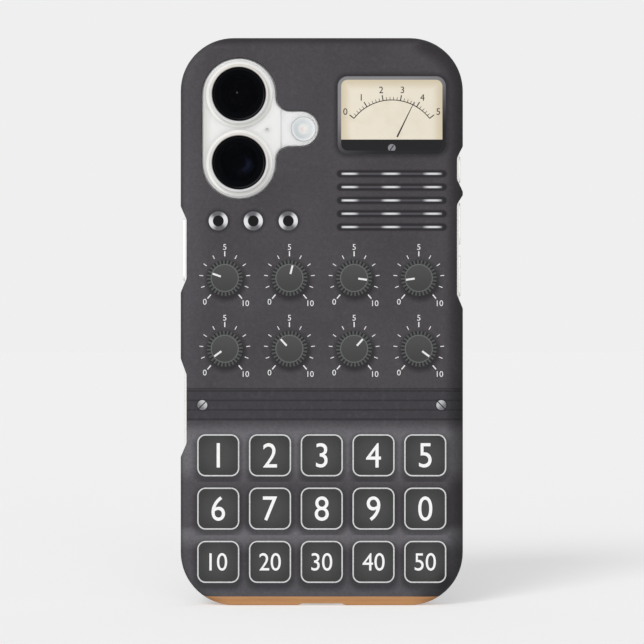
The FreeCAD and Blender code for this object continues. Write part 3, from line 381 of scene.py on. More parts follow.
@dataclass(frozen=True)
class Finish:
    """A named finish that makes its own material."""

    name: str

    def fill(self, graph: Graph) -> Socket:
        """Fills the graph and returns its shader."""
        raise NotImplementedError

    def material(self) -> bpy.types.Material:
        """The finish's material, made the first time it is asked for.

        Returns:
            The material.
        """
        made = bpy.data.materials.get(self.name)
        if made is None:
            made = bpy.data.materials.new(self.name)
            made.use_nodes = True
            graph = Graph(made.node_tree)
            graph.close(self.fill(graph))
        return made

    def dress(self, *pieces: bpy.types.Object) -> None:
        """Puts the finish on every slot of the pieces.

        Args:
            pieces: the pieces, new ones or packed ones.
        """
        for piece in pieces:
            if not piece.material_slots:
                piece.data.materials.append(None)
            for slot in piece.material_slots:
                slot.material = self.material()


class Grain(Enum):
    """The fine relief that a surface was made with."""

    BLASTED = "fine even speckle"
    PEBBLED = "small moulded cells"
    DRAWN = "long scratches up the piece"
    WOVEN = "crossing wires"


@dataclass(frozen=True)
class Worked(Finish):
    """A plain substance with a grain, a second tone and uneven gloss."""

    colour: str
    tone: str
    roughness: float
    grain: Grain = Grain.BLASTED
    size: float = 0.25
    depth: float = 0.01
    cloud: float = 9.0
    unevenness: float = 0.1
    metallic: float = 0.0
    specular: float = 0.5
    coat: float = 0.0

    def pattern(self, graph: Graph) -> Signal:
        """The grain's height from 0 to 1.

        Args:
            graph: the node tree of the material.

        Returns:
            The height.
        """
        x, _, z = graph.axes()
        if self.grain is Grain.PEBBLED:
            return graph.pebbles(self.size)
        if self.grain is Grain.DRAWN:
            return graph.noise(self.size, 2.0, (1, 1, 60))
        if self.grain is Grain.WOVEN:
            over = x.wave(self.size) * z.wave(self.size)
            under = (1 - x.wave(self.size)) * (1 - z.wave(self.size))
            return over + under
        return graph.noise(self.size, 2.0)

    def fill(self, graph: Graph) -> Socket:
        """Clouds the two tones into each other and lets the grain and the clouds vary the gloss.

        Args:
            graph: the node tree of the material.

        Returns:
            The surface's shader.
        """
        cloud, grain = graph.noise(self.cloud, 3.0).rise(0.3, 0.7), self.pattern(graph)
        share = cloud * 0.6 + grain * 0.4
        return graph.skin({
            "Base Color": graph.blend(self.colour, self.tone, share),
            "Roughness": (cloud - 0.5) * self.unevenness + self.roughness,
            "Metallic": self.metallic,
            "Specular IOR Level": self.specular,
            "Coat Weight": self.coat,
            "Normal": graph.relief(grain, self.depth),
        })


@dataclass(frozen=True)
class Ink(Finish):
    """Opaque ink, slightly raised, a little thinner in places."""

    colour: str
    thin: str

    def fill(self, graph: Graph) -> Socket:
        """Mottles the ink by a fine noise.

        Args:
            graph: the node tree of the material.

        Returns:
            The surface's shader.
        """
        film = graph.noise(0.5, 3.0)
        return graph.skin({
            "Base Color": graph.blend(self.colour, self.thin, film.rise(0.35, 0.8) * 0.5),
            "Roughness": film * 0.2 + 0.4,
            "Specular IOR Level": 0.2,
            "Normal": graph.relief(film, 0.006),
        })


@dataclass(frozen=True)
class OpticGlass(Finish):
    """A lens cover: clear over the lens, masked in black round it, coated against reflections."""

    axis: tuple[float, float]
    clear_radius: float
    # Painted reflection: where the soft spot lies beside the axis, its radius, the circle that hollows it and
    # its colour.
    gleam: tuple[float, float]
    gleam_radius: float
    gleam_hollow: float
    gleam_colour: str
    tint: float = 0.65
    mask_soft: float = 0.06
    # The groove round the mask: a faint ring all round, plus a painted highlight that is brightest on its
    # lower right.
    groove_radius: float = 6.55
    groove_width: float = 0.14

    def fill(self, graph: Graph) -> Socket:
        """Mixes dark tinted glass and what covers it: the printed mask and a painted reflection.

        The painted reflection is a soft spot beside the axis, hollowed out by a circle about the axis. The
        groove round the mask carries a painted highlight, brightest on its lower right.

        Args:
            graph: the node tree of the material.

        Returns:
            The surface's shader.
        """
        across, along, out = graph.about(self.axis)
        smear = graph.noise(5.0, 3.0)
        clear = graph.skin({
            "Base Color": graph.blend("b0b5c0", "bbc0c9", smear),
            "Roughness": smear * 0.02,
            "IOR": 1.04,
            "Transmission Weight": 1.0,
        })
        # Painted reflection: a soft spot beside the axis, hollowed out by a circle about the axis.
        spot = radius_from(across - self.gleam[0], along - self.gleam[1])
        gleam = spot.fall(self.gleam_radius * 0.3, self.gleam_radius)
        gleam = gleam * out.rise(self.gleam_hollow * 0.55, self.gleam_hollow + 0.1)
        # Painted highlight: the groove is faint all round and painted brighter on its lower right, where a
        # bevel would catch the light.
        faced = ((across - along) / out).rise(0.6, 1.4) * 0.6 + 0.12
        groove = abs(out - self.groove_radius).fall(0, self.groove_width) * faced
        cover = graph.skin({
            "Base Color": graph.layered("07080b", (self.gleam_colour, gleam), ("55565a", groove)),
            "Roughness": smear * 0.03 + 0.05,
            "Specular IOR Level": 0.006,
        })
        masked = out.rise(self.clear_radius, self.clear_radius + self.mask_soft)
        share = masked.most(gleam * 0.85).most(self.tint)
        return graph.either(share, clear, cover)


@dataclass(frozen=True)
class LensRing(Finish):
    """A satin metal ring, turned, with painted light and shade: its top painted warmer than its foot, and its
    wall painted paler towards the foot.
    """

    axis: tuple[float, float]
    # Painted light and shade: the top's tone, the foot's tone and the paler tone of the wall towards the
    # foot.
    crown: str = "cac6c0"
    foot: str = "c1c1c2"
    wall: str = "fafaf9"
    wall_radius: float = 7.7
    tool_pitch: float = 0.12

    def fill(self, graph: Graph) -> Socket:
        """Blends the two tones by the direction from the axis, as painted light and shade, and turns fine
        rings into it.

        The wall is painted paler than the face towards the ring's foot, as painted light.

        Args:
            graph: the node tree of the material.

        Returns:
            The surface's shader.
        """
        across, along, out = graph.about(self.axis)
        # Painted light and shade: the top and the foot take different tones by direction, and the wall is
        # painted paler towards the foot.
        high = (along / out).rise(-0.7, 0.9)
        tool = out.wave(self.tool_pitch) * 0.6 + graph.noise(self.tool_pitch, 2.0) * 0.4
        wall = out.rise(self.wall_radius - 0.25, self.wall_radius) * towards_foot(across, along, out)
        return graph.skin({
            "Base Color": graph.layered(
                self.foot, (self.crown, high), (self.wall, wall), ("dcdad6", tool * 0.12)),
            "Roughness": tool * 0.08 + 0.46,
            "Metallic": 0.3,
            "Specular IOR Level": 0.3,
            "Normal": graph.relief(tool, 0.002),
        })


@dataclass(frozen=True)
class RingSeal(Finish):
    """The smooth pale seal between a lens ring and the glass, painted a little paler towards its foot as
    painted light.
    """

    axis: tuple[float, float]
    shaded: str = "e6e6e4"
    pale: str = "fefefa"

    def fill(self, graph: Graph) -> Socket:
        """Blends the shaded tone and the paler, painted light tone by the direction from the axis.

        Args:
            graph: the node tree of the material.

        Returns:
            The surface's shader.
        """
        # Painted light: the seal is painted paler towards its foot, where the ring throws its shade.
        paler = towards_foot(*graph.about(self.axis))
        return graph.skin({
            "Base Color": graph.blend(self.shaded, self.pale, paler),
            "Roughness": graph.noise(0.4) * 0.1 + 0.35,
            "Specular IOR Level": 0.3,
        })


@dataclass(frozen=True)
class LensCoating(Finish):
    """The front lens: dark glass with a blue and violet coating that shows more towards its rim."""

    axis: tuple[float, float]
    radius: float

    def fill(self, graph: Graph) -> Socket:
        """Shades the glass from its middle to its rim.

        Args:
            graph: the node tree of the material.

        Returns:
            The surface's shader.
        """
        out = graph.about(self.axis)[2] / self.radius
        return graph.skin({
            "Base Color": graph.layered(
                "040507",
                ("0a0d14", out.rise(0.2, 0.8)),
                ("191b22", abs(out - 0.62).fall(0.02, 0.06) * 0.6),
                ("14131f", out.rise(0.8, 1.0))),
            "Roughness": graph.noise(1.0) * 0.04 + 0.12,
            "Specular IOR Level": 0.06,
            "Specular Tint": linear("8fa4e6"),
        })


@dataclass(frozen=True)
class FlashGlass(Finish):
    """The flash's moulded lens: grey rings, a pale ring and a warm middle over the lamps."""

    axis: tuple[float, float]
    radius: float

    def fill(self, graph: Graph) -> Socket:
        """Tints the lens by the distance from its axis, and paints it paler towards its right as painted
        light.

        Args:
            graph: the node tree of the material.

        Returns:
            The surface's shader.
        """
        across, along, out = graph.about(self.axis)
        out = out / self.radius
        lamps = graph.blend("e6d6d3", "f2ebe3", across.rise(-0.55, 0.4))
        return graph.skin({
            "Base Color": graph.layered(
                "e9eae8",
                ("cfd5d7", out.rise(0.3, 0.58)),
                ("dfe3e4", out.rise(0.7, 0.9)),
                # Painted light: the lens is painted paler towards its right.
                ("f4f5f5", across.rise(-2.0, 3.2) * 0.7),
                (lamps, radius_from(across + 0.1, along).fall(0.25, 1.1)),
                ("eceded", graph.noise(0.4) * 0.15)),
            "Roughness": graph.noise(0.6) * 0.1 + 0.36,
            "Specular IOR Level": 0.3,
        })


@dataclass(frozen=True)
class BackGlass(Finish):
    """White glass, matte on the flat back and polished on the camera plateau and its lower shelf, with
    painted light on the shelf and painted shade along the plateau's left side.
    """

    colour: str = "f6f6f4"
    tone: str = "f0f0ee"
    # Painted light: the shelf's paler tone; painted shade: the darker tone along the plateau's left side.
    shelf: str = "ffffff"
    rim: str = "d6d6d1"
    plateau_level: float = -2.5
    step_level: float = -4.05
    plateau_side: float = -31.3
    milk: float = 3.0

    def fill(self, graph: Graph) -> Socket:
        """Uses the depth to tell the polished plateau and its shelf from the etched back.

        The shelf is painted paler, as painted light against the shade round it, and the plateau is painted a
        little darker along its left side, as painted shade.

        Args:
            graph: the node tree of the material.

        Returns:
            The surface's shader.
        """
        x, y, _ = graph.axes()
        polished = y.fall(self.plateau_level - 0.3, self.plateau_level)
        frost = graph.noise(0.12, 2.0)
        # Painted light on the lower shelf, and painted shade along the plateau's left side.
        lower = y.rise(self.step_level, self.step_level + 0.1) * polished
        side = x.fall(self.plateau_side, self.plateau_side + 3.0) * polished
        return graph.skin({
            "Base Color": graph.layered(
                self.colour, (self.tone, graph.noise(8.0)), (self.shelf, lower), (self.rim, side)),
            "Roughness": 0.42 - polished * 0.2 + frost * 0.05,
            "Specular IOR Level": 0.35,
            "Subsurface Weight": 0.8,
            "Subsurface Radius": (1.0, 1.0, 1.0),
            "Subsurface Scale": self.milk * MM,
            "Normal": graph.relief(frost * (1 - polished), 0.003),
        })


@dataclass(frozen=True)
class DisplayGlass(Finish):
    """The front glass over a display that is off: two blacks, with the sensor island between them."""

    half: tuple[float, float] = (33.4, 71.4)
    middle: float = 74.75
    corner: float = 10.2
    island: tuple[float, float] = (-2.0, 141.7)
    island_half: tuple[float, float] = (11.0, 2.8)
    eye: tuple[float, float] = (6.3, 141.7)
    eye_radius: float = 1.7

    def fill(self, graph: Graph) -> Socket:
        """Draws the picture area, the island and the front camera's eye, with faint smears over them.

        Args:
            graph: the node tree of the material.

        Returns:
            The surface's shader.
        """
        x, _, z = graph.axes()
        border = box_distance(x, z - self.middle, self.half, self.corner).above(0, 0.1)
        around = box_distance(x - self.island[0], z - self.island[1], self.island_half, self.island_half[1])
        out = radius_from(x - self.eye[0], z - self.eye[1])
        smear = graph.noise(24.0, 3.0)
        return graph.skin({
            "Base Color": graph.layered(
                "15161a",
                ("060607", border),
                ("040405", around.below(0, 0.1)),
                ("141b33", out.fall(self.eye_radius - 0.9, self.eye_radius)),
                ("1a1c20", smear.rise(0.45, 0.9) * 0.25)),
            "Roughness": smear.rise(0.4, 0.8) * 0.07 + 0.03,
            "Specular IOR Level": 0.18,
        })


@dataclass(frozen=True)
class PixelGrid(Finish):
    """The display panel's dark face, with its fine grid."""

    pitch: float = 0.4

    def fill(self, graph: Graph) -> Socket:
        """Crosses two fine waves into a grid.

        Args:
            graph: the node tree of the material.

        Returns:
            The surface's shader.
        """
        x, _, z = graph.axes()
        grid = (x.wave(self.pitch) * z.wave(self.pitch)).rise(0.3, 0.8)
        return graph.skin({
            "Base Color": graph.blend("060608", "15161b", grid),
            "Roughness": grid * 0.1 + 0.15,
        })


@dataclass(frozen=True)
class CircuitBoard(Finish):
    """A circuit board: dark lacquer, paler tracks under it and rows of gilded pads."""

    pitch: float = 1.2
    lacquer: str = "10221b"
    track: str = "1f3d31"

    def fill(self, graph: Graph) -> Socket:
        """Breaks a grid of lines by noise into tracks and dots it with pads.

        Args:
            graph: the node tree of the material.

        Returns:
            The surface's shader.
        """
        x, _, z = graph.axes()
        broken = graph.noise(4.0, 1.0).rise(0.45, 0.55)
        lines = x.wave(self.pitch).rise(0.7, 0.8) * broken + z.wave(self.pitch).rise(0.7, 0.8) * (1 - broken)
        pads = (x.wave(self.pitch * 2) * z.wave(self.pitch * 2)).rise(0.86, 0.9)
        return graph.skin({
            "Base Color": graph.layered(self.lacquer, (self.track, lines), ("c9a24a", pads)),
            "Roughness": 0.35 - pads * 0.1,
            "Metallic": pads,
            "Normal": graph.relief(lines, 0.02),
        })


@dataclass(frozen=True)
class Wound(Finish):
    """Lacquered copper wire wound in a flat spiral."""

    axis: tuple[float, float]
    pitch: float

    def fill(self, graph: Graph) -> Socket:
        """Darkens the joint between one turn and the next.

        Args:
            graph: the node tree of the material.

        Returns:
            The surface's shader.
        """
        turn = graph.about(self.axis)[2].wave(self.pitch)
        return graph.skin({
            "Base Color": graph.blend("6d3518", "c9793f", turn.rise(0.1, 0.7)),
            "Roughness": 0.45 - turn * 0.15,
            "Metallic": 0.9,
        })


@dataclass(frozen=True)
class Contacts(Finish):
    """Black plastic that carries a row of gilded contacts."""

    pitch: float = 0.5
    span: float = 5.6

    def fill(self, graph: Graph) -> Socket:
        """Lays gold stripes along Z within the span.

        Args:
            graph: the node tree of the material.

        Returns:
            The surface's shader.
        """
        x, _, _ = graph.axes()
        stripe = x.wave(self.pitch).rise(0.4, 0.6) * abs(x).fall(self.span / 2 - 0.05, self.span / 2)
        return graph.skin({
            "Base Color": graph.blend("18181a", "d9b25f", stripe),
            "Roughness": graph.noise(0.3) * 0.2 + 0.25,
            "Metallic": stripe,
            "Normal": graph.relief(stripe, 0.02),
        })


def seen_share(graph: Graph) -> Signal:
    """Tells the rays that show a thing from those that light something else.

    Args:
        graph: the node tree of the material or the world.

    Returns:
        1 for rays that see a thing straight, in a reflection or through glass, and 0 for its light.
    """
    path = graph.node("ShaderNodeLightPath").outputs
    kinds = ("Is Camera Ray", "Is Glossy Ray", "Is Transmission Ray")
    camera, glossy, through = (Signal(graph, path[kind]) for kind in kinds)
    return camera.most(glossy).most(through)


@dataclass(frozen=True)
class StudioPaper(Finish):
    """Matte paper, lifted a little where it is seen."""

    paper: str
    lift: float

    def fill(self, graph: Graph) -> Socket:
        """Adds a glow to the paper for the rays that see it.

        Args:
            graph: the node tree of the material.

        Returns:
            The surface's shader.
        """
        matte = graph.node("ShaderNodeBsdfDiffuse", {}, {"Color": linear(self.paper)}).outputs[0]
        glow = graph.node("ShaderNodeEmission", {}, {"Strength": self.lift}).outputs[0]
        lifted = graph.node("ShaderNodeAddShader", {}, {0: matte, 1: glow}).outputs[0]
        return graph.either(seen_share(graph), matte, lifted)


# --- the printed panel --------------------------------------------------------------------------


@dataclass(frozen=True)
class Rows:
    """Equal motifs in rows and columns: the lowest on the left, the steps and the counts."""

    first: tuple[float, float]
    pitch: tuple[float, float]
    count: tuple[int, int]

    def middles(self) -> np.ndarray:
        """Lists the middles of the motifs.

        Returns:
            An array of (x, z), row by row from the lowest, each from its left end.
        """
        number = np.arange(self.count[0] * self.count[1])
        steps = np.stack([number % self.count[0], number // self.count[0]], axis=1)
        return np.array(self.first) + steps * np.array(self.pitch)

    def nearest(self, x: Signal, z: Signal) -> tuple[Signal, Signal]:
        """How far a point is right of the nearest motif's middle, and how far above it."""
        across, along = (folded(*each) for each in zip((x, z), self.first, self.pitch, self.count))
        return across, along


@dataclass(frozen=True)
class Panel:
    """The layout of the generic instrument panel that is printed on the case."""

    middle: float = 74.75
    keys: Rows = Rows((-27.2, 11.6), (13.6, 14.0), (5, 3))
    key_half: tuple[float, float] = (5.35, 5.35)
    key_corner: float = 2.0
    key_line: float = 0.34
    key_labels: tuple[str, ...] = (
        "10", "20", "30", "40", "50", "6", "7", "8", "9", "0", "1", "2", "3", "4", "5")
    dials: Rows = Rows((-25.5, 67.6), (17.0, 18.6), (4, 2))
    knob_radius: float = 4.7
    flute_depth: float = 1.0
    flute_count: int = 28
    pointer_ends: tuple[float, float] = (1.1, 3.4)
    pointer_width: float = 0.5
    tick_radii: tuple[float, float, float] = (5.7, 6.7, 7.05)
    tick_widths: tuple[float, float] = (0.2, 0.3)
    tick_count: int = 11
    tick_sweep: float = math.radians(280)
    tick_digits: float = 7.65
    meter: tuple[float, float] = (18.4, 129.0)
    meter_half: tuple[float, float] = (14.2, 10.2)
    meter_corner: float = 2.6
    meter_bezel: float = 0.9
    skirt_top: float = 122.6
    pivot: tuple[float, float] = (18.4, 120.4)
    pivot_radius: float = 1.0
    scale_radii: tuple[float, float, float] = (12.6, 13.4, 14.1)
    scale_widths: tuple[float, float] = (0.14, 0.26)
    scale_line: float = 0.22
    scale_count: int = 26
    scale_sweep: float = math.radians(104)
    scale_digits: float = 15.5
    needle_angle: float = math.radians(64)
    needle_ends: tuple[float, float] = (3.2, 13.5)
    needle_widths: tuple[float, float] = (0.42, 0.14)
    louvres: Rows = Rows((18.4, 99.6), (1.0, 3.5), (1, 5))
    louvre_half: tuple[float, float] = (14.2, 0.72)
    rod_end: float = 13.2
    jacks: Rows = Rows((-27.2, 101.2), (9.2, 1.0), (3, 1))
    jack_radius: float = 2.5
    rail: tuple[float, float] = (48.6, 57.0)
    screw_aside: float = 31.4
    screw_radius: float = 1.3
    strip_top: float = 2.5


@dataclass(frozen=True)
class PrintedShell(Finish):
    """The case's hard plastic: an instrument panel printed outside, plain charcoal inside."""

    panel: Panel
    back: float
    shell_half: tuple[float, float]
    shell_corner: float
    wall: float
    lit_under_rail: tuple[float, float, float, float] = (30.6, 37.6, 44.8, 48.9)
    lit_among_keys: tuple[float, float, float, float] = (13.0, 19.0, 19.0, 22.0)
    lit_left: float = 9.0
    sunk_height: float = 12.0
    groove_inset: float = 0.5
    groove_count: int = 4
    key_drop: float = 0.9
    key_shade: float = 2.2
    knob_drop: tuple[float, float] = (0.3, 0.7)
    # Where and how strongly painted shade darkens the print towards its edges and over the rolled rim.
    dark_depth: tuple[float, float] = (-5.5, -1.9)
    dark_right: tuple[float, float] = (15.0, 10.0)
    dark_top: tuple[float, float] = (3.0, 0.4)
    dark_left: float = 1.1
    dark_roll: tuple[float, float] = (0.3, 2.2)
    strip_spared: tuple[float, float] = (2.2, 2.6)

    def ground(self, graph: Graph, x: Signal, z: Signal) -> Socket:
        """The painted metal of the panel, paler on the left, its rail and the tan strip under it, whose
        lowest edge is painted paler as painted light.

        Args:
            graph: the node tree of the material.
            x, z: the point.

        Returns:
            The colour of the ground.
        """
        panel = self.panel
        low, high = panel.rail
        lit = z.band(*self.lit_under_rail).most(z.band(*self.lit_among_keys) * 0.95)
        lit = lit.most(x.fall(-self.shell_half[0], self.lit_left - self.shell_half[0]) * 0.2)
        sunk = z.fall(panel.strip_top, panel.strip_top + self.sunk_height)
        rail = z.above(low, 0.15) * z.below(high, 0.15)
        pitch = (high - low - 2 * self.groove_inset) / (self.groove_count - 1)
        groove = abs(folded(z, low + self.groove_inset, pitch, self.groove_count)).fall(0.1, 0.35)
        wood = graph.layered(
            "cb996c",
            ("b8865c", graph.noise(0.7, 3.0, (14, 1, 1))),
            # Painted light: the tan strip is painted paler along its lowest edge, where the case rolls away
            # from the light.
            ("f5c08a", z.fall(0.1, 1.7) * 0.85))
        return graph.layered(
            "4c494d",
            ("524f53", graph.noise(26.0, 2.0).rise(0.35, 0.65)),
            ("727074", lit),
            ("5b5a5e", sunk * 0.9),
            ("2b292c", z.band(high - 0.2, high, high, high + 0.5) * 0.8),
            ("454347", rail),
            ("343235", groove * rail * 0.8),
            ("2c2a2e", graph.noise(0.6, 5.0).rise(0.35, 0.7) * 0.2),
            ("6a676c", graph.noise(1.7, 4.0).rise(0.5, 0.75) * 0.16),
            (wood, z.below(panel.strip_top)))

    def keys(self, graph: Graph, x: Signal, z: Signal) -> tuple[Coat, ...]:
        """The square keys with the soft shade that they throw downwards.

        Args:
            graph: the node tree of the material.
            x, z: the point.

        Returns:
            Their coats, from the lowest up.
        """
        panel = self.panel
        across, along = panel.keys.nearest(x, z)
        shade = box_distance(across, along + self.key_drop, panel.key_half, panel.key_corner)
        out = box_distance(across, along, panel.key_half, panel.key_corner)
        face = graph.layered(
            "4b4c4b",
            ("3c3d3c", radius_from(across, along).rise(2, 6.5)),
            ("565756", graph.noise(0.4, 2.0) * 0.3))
        return ("242326", shade.fall(0, self.key_shade) * 0.55), (face, out.below())

    def dials(self, graph: Graph, x: Signal, z: Signal) -> tuple[Coat, ...]:
        """The fluted knobs, seen from above, with the soft shade round them.

        Args:
            graph: the node tree of the material.
            x, z: the point.

        Returns:
            Their coats, from the lowest up.
        """
        panel = self.panel
        across, along = panel.dials.nearest(x, z)
        out = radius_from(across, along)
        shade = radius_from(across - self.knob_drop[0], along + self.knob_drop[1])
        shade = shade.fall(panel.knob_radius - 0.4, panel.knob_radius + 1.6)
        fluted = graph.blend("262627", "5a5b5b", along.bearing(across).wave(FULL_TURN / panel.flute_count))
        rim = abs(out - (panel.knob_radius - panel.flute_depth - 0.15)).fall(0.05, 0.2)
        face = graph.layered(
            "454645",
            ("5c5d5c", (along / panel.knob_radius).rise(-1, 1) * 0.55),
            (fluted, out.above(panel.knob_radius - panel.flute_depth, 0.1)),
            ("7b7c7d", rim * 0.6))
        return ("222124", shade * 0.7), (face, out.below(panel.knob_radius))

    def louvres(self, graph: Graph, x: Signal, z: Signal) -> tuple[Coat, ...]:
        """Dark slots, each with a steel rod in it that shines in two places.

        Args:
            graph: the node tree of the material.
            x, z: the point.

        Returns:
            Their coats, from the lowest up.
        """
        panel = self.panel
        across, along = panel.louvres.nearest(x, z)
        out = box_distance(across, along, panel.louvre_half, panel.louvre_half[1])
        rod = abs(along).fall(0.12, 0.4) * abs(across).below(panel.rod_end, 0.2)
        steel = graph.blend("57555a", "e4e4e8", (across + 3.0).wave(11.0).rise(0.45, 1.0))
        return ("2b292c", out.fall(-0.05, 0.6) * 0.9), (steel, rod)

    def jacks(self, graph: Graph, x: Signal, z: Signal) -> tuple[Coat, ...]:
        """Round sockets with a steel collar.

        Args:
            graph: the node tree of the material.
            x, z: the point.

        Returns:
            Their coats, from the lowest up.
        """
        panel = self.panel
        across, along = panel.jacks.nearest(x, z)
        out = radius_from(across, along)
        collar = graph.blend("6a6a6e", "e9e9ec", (along.bearing(across) + 0.6).wave(math.pi).rise(0.1, 1.0))
        return (
            ("242326", out.fall(panel.jack_radius, panel.jack_radius + 1.2) * 0.6),
            (collar, out.below(panel.jack_radius)),
            ("1b1a1c", out.fall(panel.jack_radius * 0.55, panel.jack_radius * 0.6)))

    def meter(self, graph: Graph, x: Signal, z: Signal) -> tuple[Coat, ...]:
        """A cream meter in a dark bezel, with a black skirt over its pivot.

        Args:
            graph: the node tree of the material.
            x, z: the point.

        Returns:
            Its coats, from the lowest up.
        """
        panel = self.panel
        across, along = x - panel.meter[0], z - panel.meter[1]
        out = box_distance(across, along, panel.meter_half, panel.meter_corner)
        inner = out + panel.meter_bezel
        bezel = graph.blend("2a292b", "8a8a8d", (along - across * 0.4).rise(-9, 9))
        right, above = x - panel.pivot[0], z - panel.pivot[1]
        hub = radius_from(right, above)
        slit = abs(right - above * 0.7).fall(0.1, 0.22)
        card = graph.layered(
            "f2e9d7",
            ("dccfb4", inner.rise(-3.2, 0)),
            ("cbbd9f", graph.noise(6.0, 3.0).rise(0.5, 0.9) * 0.35),
            ("262527", z.below(panel.skirt_top, 0.06)),
            ("8e8e92", hub.below(panel.pivot_radius)),
            ("2a2a2c", slit * hub.below(panel.pivot_radius - 0.15)))
        return ("1f1e20", out.fall(0, 1.6) * 0.6), (bezel, out.below()), (card, inner.below())

    def screws(self, graph: Graph, x: Signal, z: Signal) -> tuple[Coat, ...]:
        """Small slotted screws at the ends of the rail.

        Args:
            graph: the node tree of the material.
            x, z: the point.

        Returns:
            Their coats, from the lowest up.
        """
        panel = self.panel
        across = abs(x) - panel.screw_aside
        along = z - sum(panel.rail) / 2
        out = radius_from(across, along)
        shade = out.fall(panel.screw_radius - 0.1, panel.screw_radius + 0.6)
        head = graph.layered(
            "7d7c80",
            ("c9c9cc", (along - across).rise(-1.2, 1.2)),
            ("222123", abs(across + along).fall(0.12, 0.26)))
        return ("1f1e20", shade * 0.7), (head, out.below(panel.screw_radius))

    def vignette(self, x: Signal, y: Signal, z: Signal, depth: Signal) -> Signal:
        """How much painted shade darkens the print towards its edges, most of all on the right.

        It is the largest of four painted shares: a wide one along the right side and round its corners,
        narrow ones at the top and on the left, and one that grows as the surface rolls away from the
        light. The tan strip is left out of all of them.

        Args:
            x, y, z: the point.
            depth: how far it is outside the case's outline.

        Returns:
            The share of the painted shade's dark tone.
        """
        half, top = self.shell_half[0], self.panel.middle + self.shell_half[1]
        # Painted shade: darker along the right side and round its corners, at the top, on the left and where
        # the surface rolls away from the light.
        right = x.rise(half - self.dark_right[0], half - self.dark_right[1]) * 0.53
        right = depth.rise(*self.dark_depth) * right + x.rise(-10, half - 6) * 0.04
        crown = z.rise(top - self.dark_top[0], top - self.dark_top[1]) * 0.55
        left = x.fall(-half, self.dark_left - half) * 0.45
        rolled = y.rise(self.back + self.dark_roll[0], self.back + self.dark_roll[1]) * 0.5
        return right.most(crown).most(left).most(rolled) * z.rise(*self.strip_spared)

    def fill(self, graph: Graph) -> Socket:
        """Lays the motifs over the ground, painted shade towards the edges, and plain plastic over what isn't
        the outside.

        Args:
            graph: the node tree of the material.

        Returns:
            The surface's shader.
        """
        x, y, z = graph.axes()
        motifs = (self.keys, self.dials, self.louvres, self.jacks, self.meter, self.screws)
        coats = [coat for motif in motifs for coat in motif(graph, x, z)]
        depth = box_distance(x, z - self.panel.middle, self.shell_half, self.shell_corner)
        buried = depth.fall(-self.wall * 0.95, -self.wall * 0.85)
        inside = buried * y.rise(self.back + self.wall * 0.8, self.back + self.wall * 0.9)
        plain = graph.blend("2f2e30", "39383b", graph.noise(3.0))
        grain = graph.noise(0.16, 3.0)
        # Painted shade: the print is darkened towards its edges and over the rolled rim.
        coats += [("151416", self.vignette(x, y, z, depth)), (plain, inside)]
        return graph.skin({
            "Base Color": graph.layered(self.ground(graph, x, z), *coats),
            "Roughness": grain * 0.12 + 0.5,
            "Specular IOR Level": 0.06,
            "Normal": graph.relief(grain, 0.004),
        })


# --- meshes -------------------------------------------------------------------------------------


def lattice(rows: int, columns: int, wrap_rows: bool = False, wrap_columns: bool = False) -> np.ndarray:
    """The faces of a grid of points.

    Point (i, j) has the number i * columns + j, and each face takes a point, the next along the row, the
    one above that and the one above the first. A wrapped side joins its end to its start.

    Args:
        rows: how many rows of points there are.
        columns: how many points a row has.
        wrap_rows: whether the last row joins the first.
        wrap_columns: whether each row's end joins its start.

    Returns:
        An array of four point numbers for each face.
    """
    i = np.arange(rows if wrap_rows else rows - 1)[:, None]
    j = np.arange(columns if wrap_columns else columns - 1)[None, :]
    up, on = (i + 1) % rows, (j + 1) % columns
    corners = [i * columns + j, i * columns + on, up * columns + on, up * columns + j]
    return np.stack(corners, axis=-1).reshape(-1, 4)


def placed(name: str, data: bpy.types.ID) -> bpy.types.Object:
    """Puts data into the scene.

    Args:
        name: the new object's name.
        data: its mesh, lamp or camera.

    Returns:
        The object, at the origin.
    """
    holder = bpy.data.objects.new(name, data)
    bpy.context.scene.collection.objects.link(holder)
    return holder


def piece_from(name: str, points: np.ndarray, faces: np.ndarray, crease: float = 35) -> bpy.types.Object:
    """Makes an object from points in millimetres.

    Points that meet are merged, so that seams and poles are closed, and faces point outwards.

    Args:
        name: the piece's name.
        points: an array of (x, y, z).
        faces: an array of point numbers.
        crease: the angle in degrees past which an edge stays sharp.

    Returns:
        The object, at the origin, with its place in its mesh.
    """
    mesh = bpy.data.meshes.new(name)
    mesh.from_pydata((points * MM).tolist(), [], faces.tolist())
    work = bmesh.new()
    work.from_mesh(mesh)
    bmesh.ops.remove_doubles(work, verts=work.verts, dist=1e-7)
    bmesh.ops.recalc_face_normals(work, faces=work.faces)
    work.to_mesh(mesh)
    work.free()
    mesh.shade_smooth()
    mesh.set_sharp_from_angle(angle=math.radians(crease))
    return placed(name, mesh)


def turned(name: str, axis: Sequence[float], profile: np.ndarray, closed: bool,
           steps: int = 128) -> bpy.types.Object:
    """Turns a profile about an axis along Y.

    A profile point (r, y) becomes (x0 + r cos t, y, z0 + r sin t) for each angle t of a full turn.

    Args:
        name: the piece's name.
        axis: the axis's (x, z).
        profile: an array of (r, y), in millimetres.
        closed: whether the profile's end joins its start, as on a ring.
        steps: how many angles there are.

    Returns:
        The turned piece.
    """
    angle = np.linspace(0, FULL_TURN, steps, endpoint=False)[None, :]
    radius, depth = profile[:, :1], profile[:, 1:]
    x, z = axis[0] + radius * np.cos(angle), axis[1] + radius * np.sin(angle)
    points = np.stack([x, depth + np.zeros_like(x), z], axis=-1).reshape(-1, 3)
    return piece_from(name, points, lattice(len(profile), steps, closed, True))


